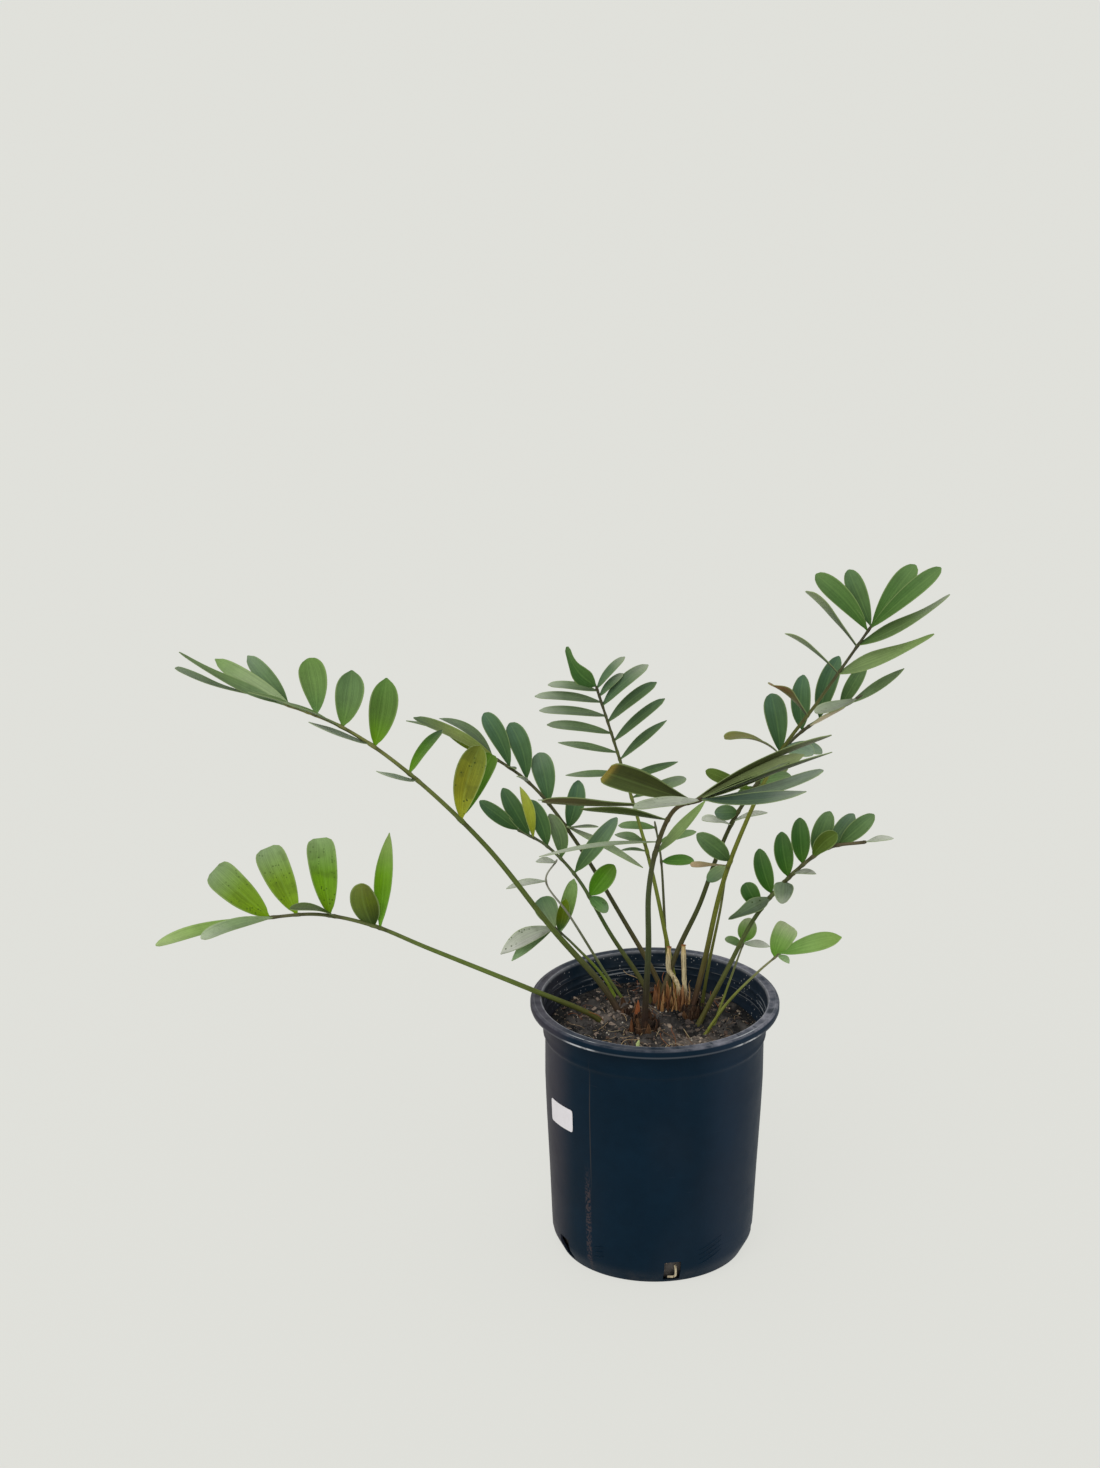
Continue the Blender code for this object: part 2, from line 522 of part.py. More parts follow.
def make_mix(cutters):
    """The potting mix fills the pot, a gap clear of its wall, with sockets for all that stands in it."""
    edge = NECK_RADIUS - WALL - GAP
    profile = [(0.0, FLOOR + GAP)]
    profile += [(radius - GAP, max(height, FLOOR + GAP)) for radius, height in inner_wall()
                if height < COLLAR_HEIGHT - 2.0 * COLLAR_FLARE]
    profile += [(edge * (1.0 - step / MIX_RINGS), MIX_EDGE_HEIGHT) for step in range(MIX_RINGS)]
    profile += [(0.0, MIX_EDGE_HEIGHT)]
    mix = turned("potting_mix", profile, "mix")
    for vert in mix.data.vertices:
        if vert.co.z > MIX_EDGE_HEIGHT - GAP:
            vert.co.z = mix_height(vert.co.x, vert.co.y)
    combine(mix, cutters, "DIFFERENCE")
    return mix


def make_label():
    """A blank sticker, bent round the wall and put on slightly askew."""
    half_angle = 0.5 * LABEL_WIDTH / wall_radius(LABEL_CENTRE_HEIGHT)
    rings = []
    for column in range(LABEL_COLUMNS + 1):
        share = column / LABEL_COLUMNS
        angle = math.radians(LABEL_ANGLE) + half_angle * (2.0 * share - 1.0)
        middle = LABEL_CENTRE_HEIGHT + LABEL_TILT * (share - 0.5)
        ring = []
        for side, half in ((0.0, -0.5), (LABEL_THICKNESS, -0.5), (LABEL_THICKNESS, 0.5), (0.0, 0.5)):
            height = middle + LABEL_HEIGHT * half
            reach = wall_radius(height) + GAP + side
            ring.append(Vector((reach * math.sin(angle), -reach * math.cos(angle), height)))
        rings.append(ring)
    bm = bmesh.new()
    loft(bm, rings)
    return add_object("price_label", bm, "label")


def stalk_cutters():
    """Each stalk's foot, a gap larger all round, to cut its socket."""
    cutters = []
    for name, frond in FRONDS.items():
        curve = smooth_route(frond["route"])
        bm = bmesh.new()
        rings = stalk_rings(curve, frond["radius"], len(frond["route"]), GAP)
        _, along = point_at(curve, 0.0)
        rings[0] = [point - along * GAP for point in rings[0]]
        loft(bm, rings)
        cutters.append(add_object(name + "_socket", bm))
    return cutters


def main():
    clear_scene()
    make_pot()
    make_label()
    for name, frond in FRONDS.items():
        make_frond(name, **frond)
    for name, (x, y, radius) in CROWNS.items():
        crown = make_crown(name, x, y, radius)
        combine(crown, stalk_cutters(), "DIFFERENCE")
    for name, strip in STRIPS.items():
        make_strip(name, *strip)
    cutters = stalk_cutters()
    cutters += [make_crown("crown_socket", *crown, kind=None, extra=GAP) for crown in CROWNS.values()]
    cutters += [make_strip("strip_socket", *strip, kind=None, extra=GAP) for strip in STRIPS.values()]
    make_mix(cutters)


main()
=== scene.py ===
"""Dress a potted cardboard palm: a black can, its mix, crowns, bracts and stubs, and fifteen fronds."""
import json
import math
import random

import bpy
from bpy.props import FloatProperty, FloatVectorProperty, IntProperty, PointerProperty
from mathutils import Matrix, Vector, noise

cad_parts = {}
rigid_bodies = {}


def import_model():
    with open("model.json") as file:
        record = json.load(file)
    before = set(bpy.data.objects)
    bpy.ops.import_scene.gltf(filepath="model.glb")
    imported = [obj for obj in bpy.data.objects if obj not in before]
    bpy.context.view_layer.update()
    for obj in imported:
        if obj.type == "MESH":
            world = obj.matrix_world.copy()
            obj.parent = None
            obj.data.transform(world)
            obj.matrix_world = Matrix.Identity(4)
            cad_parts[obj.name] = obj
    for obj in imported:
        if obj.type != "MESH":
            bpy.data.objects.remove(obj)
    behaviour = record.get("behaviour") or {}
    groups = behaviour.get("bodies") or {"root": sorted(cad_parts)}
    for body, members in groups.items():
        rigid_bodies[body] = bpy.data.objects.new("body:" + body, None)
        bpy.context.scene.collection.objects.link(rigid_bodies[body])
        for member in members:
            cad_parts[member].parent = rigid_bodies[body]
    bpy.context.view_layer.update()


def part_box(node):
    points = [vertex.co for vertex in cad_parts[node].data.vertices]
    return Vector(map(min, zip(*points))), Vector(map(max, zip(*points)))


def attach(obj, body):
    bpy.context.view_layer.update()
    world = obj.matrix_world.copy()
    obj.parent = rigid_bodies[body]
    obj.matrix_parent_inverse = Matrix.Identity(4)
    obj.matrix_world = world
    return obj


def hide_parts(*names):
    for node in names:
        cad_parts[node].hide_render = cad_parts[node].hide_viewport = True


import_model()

bl_info = {
    "name": "Potted cardboard palm",
    "version": (1, 0, 0),
    "blender": (4, 5, 0),
    "location": "3D View > Sidebar > Palm",
    "description": "Models a potted cardboard palm piece by piece over its solids",
    "category": "Object",
}


def mm(*points):
    """Points given in millimetres, as points in metres."""
    return [tuple(value / 1000 for value in point) for point in points]


# ---------------------------------------------------------------- sizes, in metres, and angles
RIM_RADIUS, _, POT_HEIGHT = Vector(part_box("nursery_pot")[1])
LIP_BOTTOM = POT_HEIGHT - 0.010
INNER_RADIUS = 0.1077
MIX_EDGE_HEIGHT = 0.236
CROWN_BASE = MIX_EDGE_HEIGHT + 0.007

# The studio: its camera, and the tints and turn of its lights.
CAMERA_PLACE = (-0.1052, -3.262, 1.790)
CAMERA_DIP = math.radians(20.745)
CAMERA_LENS = 87.7
FLOOR_WIDTH = 60.0
SUN_TURN = (math.radians(38.0), math.radians(-18.0), 0.0)
SUN_TINT = (1.0, 0.985, 0.96)
FLOOR_TINT = (1.0, 1.004, 0.952, 1.0)
SKY_TINT = (1.0, 1.004, 0.954, 1.0)

# The can's profile, as (radius, height): its foot, its outer wall up to the lip, and its inside.
CAN_FOOT = mm((2, 1.6), (40, 1.6), (85, 1.6), (86.6, 0), (91.8, 0), (93.2, 0.6))
OUTER_WALL = mm((94, 2.2), (98.5, 10.6), (101.2, 16), (102.4, 20.8), (103.1, 34), (104.3, 62),
                (105.5, 90), (107.1, 122), (108.5, 150), (109.3, 170), (110, 190), (110, 212),
                (110, 231), (110.3, 233), (111.4, 235.2), (112.1, 236.6), (112.2, 238.4),
                (111.7, 240), (111.8, 244), (112.3, 252), (113, 260))
OUTER_WALL.append((0.1136, LIP_BOTTOM + 0.0002))
CAN_INSIDE = mm((111.4, 258.5), (110.9, 257.7), (111.2, 256.8), (110.9, 250), (110.4, 249.2),
                (110.7, 248.2), (110.2, 240), (109.2, 235), (108, 232), (107.9, 220), (107.6, 190),
                (106.4, 150), (103.4, 90), (100.4, 21), (93, 4), (90, 2.7), (2, 2.7))
# Its lip: how far in from the rim, with how far up from the lip's foot or down from its top.
LIP_UNDER = mm((4, 0), (1.8, 0.3), (0.6, 1.2), (0, 2.7))
LIP_OVER = mm((0, 3), (0.6, 1.4), (1.8, 0.4), (3.2, 0), (4.6, 0.3), (6.6, 0.8), (8.6, 0.5),
              (9.8, 0), (11, 0.3), (11.8, 1.4), (12.2, 3.6))
LIP_INSIDE = (RIM_RADIUS - 0.0128, 0.2610)
# The drain holes' middle, depth and height, and the turn of the first one.
HOLE_MIDDLE, HOLE_DEEP, HOLE_TALL = (0.0, -0.1025, 0.01525), 0.040, 0.0235
FIRST_HOLE = math.radians(10.0)
# The small ridges low on the wall, as (middle, lowest height, spread, number, rise), in degrees
# and metres, then how far apart they are and how thick.
RIDGES = ((33.0, 0.020, 15.0, 4, 0.010), (-33.0, 0.024, 6.0, 3, 0.003))
RIDGE_GAP, RIDGE_RADIUS = 0.0055, 0.0009
ROOT_TIP = mm((20.2, -96.2, 21.5), (21, -96.2, 14), (19.9, -94.8, 8), (12.8, -94.5, 7.4))
ROOT_RADIUS = 0.0012
# Where marks lie round the can: the mould seam, low down and higher up, the nicks in the rim, as
# (middle in degrees, half width), and where the painted highlights on the rim are brightest.
SEAM_LOW, SEAM_HIGH = math.radians(-39.5), math.radians(-37.0)
NICKS = ((75.0, 0.075), (55.0, 0.012), (42.5, 0.012), (26.5, 0.015))
RIM_HIGHLIGHT_TURNS = (math.radians(-38.0), math.radians(46.0))

# The sticker: its middle's angle and height, its climb across its width, its corners, thickness
# and distance off the wall.
LABEL_TURN, LABEL_MIDDLE, LABEL_CLIMB = math.radians(-59.5), 0.1682, 0.05
LABEL_CORNER, LABEL_THICKNESS, LABEL_LIFT = 0.0022, 0.0003, 0.0005

# The mix: its side, the rings and sides of its surface, where it has dried out, as (x, y, spread),
# the bits' tints, how long each kind is, and how far out each lies.
MIX_SIDE = mm((1.5, 2.8), (89, 2.8), (97.5, 20), (101, 90), (104, 150), (105.6, 190), (107.4, 220),
              (107.7, 231))
MIX_RINGS, MIX_SIDES = 64, 150
DRY_PATCHES = ((0.036, -0.034, 0.030), (-0.042, 0.022, 0.022))
BROWNS = ((58, 52, 52), (78, 68, 64), (102, 88, 80), (42, 40, 42), (130, 114, 104), (88, 70, 62),
          (50, 48, 50), (152, 136, 122))
DARKS = ((32, 34, 38), (46, 47, 51), (62, 62, 64), (80, 78, 78), (27, 29, 35))
WHITES = ((196, 188, 176), (170, 160, 148), (214, 206, 192), (150, 136, 120), (184, 164, 140))
STRAWS = ((150, 128, 100), (176, 150, 116), (120, 92, 70), (98, 74, 58), (196, 176, 140),
          (138, 84, 54))
CHIP_SIZES, CHIP_REACH = (0.0022, 0.0062), 0.1035
CRUMB_SIZES, CRUMB_REACH = (0.0014, 0.0040), 0.1045
PERLITE_SIZES, PERLITE_REACH = (0.0010, 0.0026), 0.1050
FIBRE_SIZES, FIBRE_REACH, FIBRE_LIMIT = (0.008, 0.026), 0.092, 0.106
# The shoot that comes up in the mix.
SHOOT = mm((-17.2, -43.5, 234), (-17.8, -44.2, 240.5), (-16.6, -45.2, 246.2))
SHOOT_RADII = (0.0012, 0.0015, 0.0019, 0.0022, 0.0021, 0.0017, 0.0012, 0.0005)

# The crowns, as (x, y, radius), the bracts, as foot, top, width and tint, and the stubs' routes, all
# in millimetres.
CROWNS = {
    "crown_front": (-10, -9, 12.5),
    "crown_left": (-27, 21, 10),
    "crown_back": (7, 38, 16),
    "crown_right": (36, 28, 12),
}
BRACTS = {
    "bract_front_left": ((-24, -16, 234), (-23.5, -16, 256), 5, (128, 88, 62)),
    "bract_front": ((-18, 4, 236), (-16.5, 6, 266), 7.4, (172, 104, 66)),
    "bract_back_left": ((3, 30, 240), (1, 30, 272), 7, (140, 96, 66)),
    "bract_back": ((16, 31, 240), (13, 30, 276), 6.6, (178, 132, 90)),
    "bract_right": ((27, 26, 240), (29, 26, 274), 6.2, (168, 122, 84)),
}
STUBS = {
    "cut_stub_a": ((26, 30, 236), (26, 33, 256), (24, 35, 270), (19, 36, 279), (14.5, 36, 288),
                   (15, 36, 311)),
    "cut_stub_b": ((33, 30, 236), (31.8, 33, 256), (30, 35, 290), (29.5, 36, 313)),
}
# The old leaf bases stand in rows, as (lift, height, number), with slivers of husk between the crowns.
SCALE_ROWS = ((-0.006, 0.016, 9), (0.0, 0.014, 7))
SCALE_TINTS = ((80, 60, 48), (100, 74, 56), (64, 50, 44), (116, 86, 62), (54, 45, 41))
SLIVER_TINTS = ((150, 104, 66), (186, 140, 92), (120, 80, 54), (98, 68, 50), (196, 158, 110))
SLIVER_COUNT = 44
CROWN_SEED = 11
STUB_RINGS = 30

# A stalk's rings, and how far the swellings at its joints and at its foot reach.
STALK_RINGS = 140
JOINT_SPREAD, FOOT_SPREAD = 0.0022, 0.016

# Directions that a leaflet's upper side can face.
FRONT = (0, -1, 0.25)
SLOPED = (0, -0.8, 0.6)
UP = (0, -0.15, 1)
EDGE_ON = (0, 0.42, 0.9)
UNDER = (0, 0.9, 0.4)
HANGING = (0.15, -0.4, 1)
RISING = (-0.6, -0.6, 0.7)

# Half outlines of a leaflet, as (place, width) in hundredths of its length and of its full width.
OUTLINES = {
    "spoon": ((0, 8), (5, 13), (12, 32), (26, 60), (44, 86), (60, 98), (71, 100), (84, 90), (93, 66),
              (98, 38), (100, 10)),
    "square": ((0, 8), (5, 14), (12, 36), (26, 62), (46, 86), (68, 98), (84, 100), (94, 89), (98, 72),
               (100, 46)),
    "nib": ((0, 9), (5, 15), (12, 38), (26, 68), (46, 93), (64, 100), (78, 90), (89, 64), (95, 36),
            (100, 5)),
    "oval": ((0, 9), (5, 14), (12, 40), (26, 75), (42, 95), (56, 100), (72, 93), (86, 71), (95, 44),
             (100, 10)),
    "round": ((0, 20), (5, 40), (15, 76), (30, 96), (45, 100), (68, 86), (85, 62), (95, 38), (100, 12)),
    "lance": ((0, 10), (6, 20), (14, 44), (28, 77), (45, 100), (62, 95), (80, 66), (92, 33), (100, 3)),
    "strap": ((0, 12), (5, 22), (14, 50), (26, 77), (42, 96), (60, 100), (80, 86), (93, 54), (100, 6)),
    "taper": ((0, 12), (8, 42), (20, 82), (34, 100), (50, 86), (68, 56), (84, 34), (95, 20), (100, 4)),
    "paddle": ((0, 8), (10, 18), (28, 44), (50, 78), (72, 100), (90, 97), (97, 84), (100, 62)),
    "oar": ((0, 12), (10, 16), (30, 30), (52, 62), (70, 94), (82, 100), (93, 86), (98, 56), (100, 12)),
    "tail": ((0, 10), (10, 60), (26, 100), (44, 88), (62, 54), (80, 36), (94, 30), (100, 12)),
    "bract": ((0, 80), (15, 100), (40, 92), (65, 66), (85, 40), (100, 10)),
}

# Looks of leaflets: base, body and tip colours, then how worn or speckled, and where the tip starts.
LOOKS = {
    "lime": ((112, 156, 6), (104, 150, 18), (132, 160, 104), 0.7),
    "lime_misty": ((120, 158, 8), (116, 150, 32), (134, 158, 112), 0.6),
    "moss": ((48, 66, 14), (94, 112, 18), (112, 124, 40), 0.2),
    "bright": ((100, 156, 36), (106, 156, 20), (140, 164, 96), 0.1),
    "light": ((124, 156, 78), (132, 164, 84), (170, 194, 128), 0.1),
    "mist": ((150, 170, 132), (132, 156, 112), (178, 192, 164), 0.2),
    "edge_olive": ((62, 72, 40), (78, 92, 50), (88, 102, 64), 0.1),
    "fresh": ((96, 142, 4), (80, 112, 44), (86, 122, 56), 0.1),
    "sage": ((100, 138, 60), (94, 124, 74), (88, 118, 74), 0.1),
    "sage_light": ((100, 140, 76), (104, 136, 72), (100, 134, 66), 0.1),
    "dusk": ((66, 92, 58), (98, 126, 86), (120, 142, 114), 0.2),
    "striped": ((158, 178, 136), (150, 170, 126), (122, 152, 92), 0.1),
    "shade": ((112, 136, 100), (98, 122, 78), (104, 122, 88), 0.1),
    "grey_thin": ((104, 116, 100), (118, 132, 116), (168, 174, 164), 0.3),
    "folded": ((96, 146, 12), (74, 118, 30), (52, 76, 52), 0),
    "mustard": ((152, 158, 34), (124, 126, 30), (108, 118, 38), 1),
    "leaf": ((70, 122, 8), (72, 122, 14), (76, 112, 24), 0),
    "deep_grey": ((64, 98, 58), (78, 110, 76), (108, 132, 108), 0.1),
    "deep": ((56, 90, 50), (67, 99, 65), (84, 116, 90), 0),
    "slate": ((88, 104, 78), (96, 114, 86), (118, 134, 112), 0.3),
    "yellow_olive": ((136, 150, 40), (148, 166, 56), (120, 140, 84), 0.1),
    "lime_grey": ((116, 128, 54), (126, 140, 76), (84, 104, 78), 0.2),
    "pale_edge": ((172, 182, 150), (146, 166, 126), (126, 136, 108), 0.1),
    "tick": ((70, 82, 60), (84, 96, 72), (110, 120, 98), 0.1),
    "forest": ((50, 82, 38), (60, 94, 54), (76, 106, 76), 0),
    "forest_grey": ((70, 98, 52), (88, 110, 74), (112, 126, 98), 0.2),
    "yellow": ((150, 160, 40), (172, 180, 56), (168, 178, 74), 0),
    "blue_green": ((64, 96, 50), (84, 112, 78), (100, 124, 102), 0),
    "spotted": ((70, 110, 60), (88, 128, 72), (112, 138, 100), 0.9),
    "disc": ((150, 168, 122), (122, 146, 108), (92, 122, 88), 0),
    "two_tone": ((60, 96, 44), (96, 116, 18), (110, 138, 20), 0.2),
    "milky": ((160, 190, 134), (128, 164, 84), (150, 184, 116), 0.1),
    "ghost": ((150, 156, 144), (174, 178, 166), (196, 198, 190), 0.9),
    "pale_green": ((88, 130, 56), (130, 164, 108), (150, 182, 136), 0.2),
    "haze": ((176, 184, 170), (188, 192, 180), (198, 202, 192), 0.2),
    # The fern looks are one green: paler where the back frond's leaflets face up into the light and
    # darker where they face away, as painted light.
    "fern": ((78, 98, 66), (98, 120, 86), (130, 144, 120), 0.1),
    "fern_pale": ((82, 98, 74), (106, 124, 96), (166, 176, 158), 0.1),
    "fern_dark": ((80, 104, 72), (70, 94, 62), (84, 108, 80), 0),
    "fern_fade": ((80, 108, 78), (92, 118, 88), (150, 160, 140), 0.1),
    "gloss": ((60, 98, 44), (64, 104, 48), (84, 118, 68), 0.1),
    "underside": ((48, 58, 26), (62, 76, 30), (72, 84, 34), 0),
    "underside_gold": ((48, 56, 22), (64, 72, 30), (146, 128, 54), 0, 0.92),
    "brown_edge": ((58, 66, 34), (68, 74, 36), (84, 76, 42), 0.1),
    # Pale grey from a painted sheen on an upturned leaflet.
    "white_leaf": ((176, 180, 170), (180, 186, 172), (168, 178, 158), 0.5),
    "pea": ((112, 134, 84), (128, 152, 94), (126, 152, 88), 0),
    # Pale grey from a painted sheen on an upturned leaflet.
    "cloud": ((116, 130, 100), (156, 168, 146), (188, 192, 180), 0.1),
    "dark_strap": ((68, 66, 42), (86, 86, 58), (104, 106, 86), 0.1),
    "vein_leaf": ((84, 92, 56), (118, 132, 84), (144, 156, 112), 0.1),
    "black_strap": ((50, 50, 38), (62, 66, 44), (74, 78, 64), 0.1),
    # Blue-grey from a painted sheen on an upturned leaflet.
    "steel": ((66, 86, 64), (106, 122, 104), (130, 144, 128), 0.2),
    "steel_dark": ((44, 66, 54), (78, 98, 82), (140, 150, 136), 0.1),
    "grass": ((64, 102, 38), (78, 114, 56), (98, 130, 76), 0),
    "grass_dark": ((58, 90, 46), (78, 108, 62), (92, 122, 82), 0),
    "grass_fade": ((66, 98, 42), (98, 124, 70), (150, 158, 138), 0),
    "stem_leaf": ((58, 60, 52), (112, 128, 96), (146, 160, 120), 0),
    "tan_edge": ((56, 66, 40), (112, 104, 60), (138, 98, 66), 0),
    "mustard_thin": ((60, 62, 50), (112, 106, 44), (112, 108, 40), 0),
    "sea": ((104, 134, 108), (116, 142, 118), (134, 152, 132), 0.1),
    "cream": ((216, 200, 168), (196, 180, 150), (150, 136, 110), 0.2),
    "oat": ((140, 146, 132), (150, 160, 142), (170, 178, 158), 0.3),
    "two_green": ((60, 88, 44), (80, 110, 64), (100, 128, 86), 0.2),
    "mint": ((88, 120, 66), (106, 136, 86), (122, 146, 104), 0.1),
    "stripe": ((60, 104, 36), (70, 116, 40), (84, 122, 58), 0),
    "dry": ((140, 130, 100), (170, 148, 116), (186, 160, 130), 0.4),
    "rust": ((70, 96, 22), (74, 94, 26), (86, 108, 40), 0.2),
    "dark_oval": ((54, 98, 18), (50, 92, 32), (66, 100, 54), 0),
    "rim_disc": ((112, 130, 108), (116, 132, 110), (156, 166, 146), 0.4),
    "blotch": ((118, 134, 112), (92, 110, 86), (66, 82, 62), 1),
    "sprig": ((100, 152, 44), (122, 160, 80), (170, 184, 142), 0),
    "sprig_wide": ((104, 150, 66), (128, 164, 88), (132, 166, 82), 0.1),
    "sprig_pale": ((150, 180, 128), (150, 180, 132), (160, 184, 140), 0.1),
}

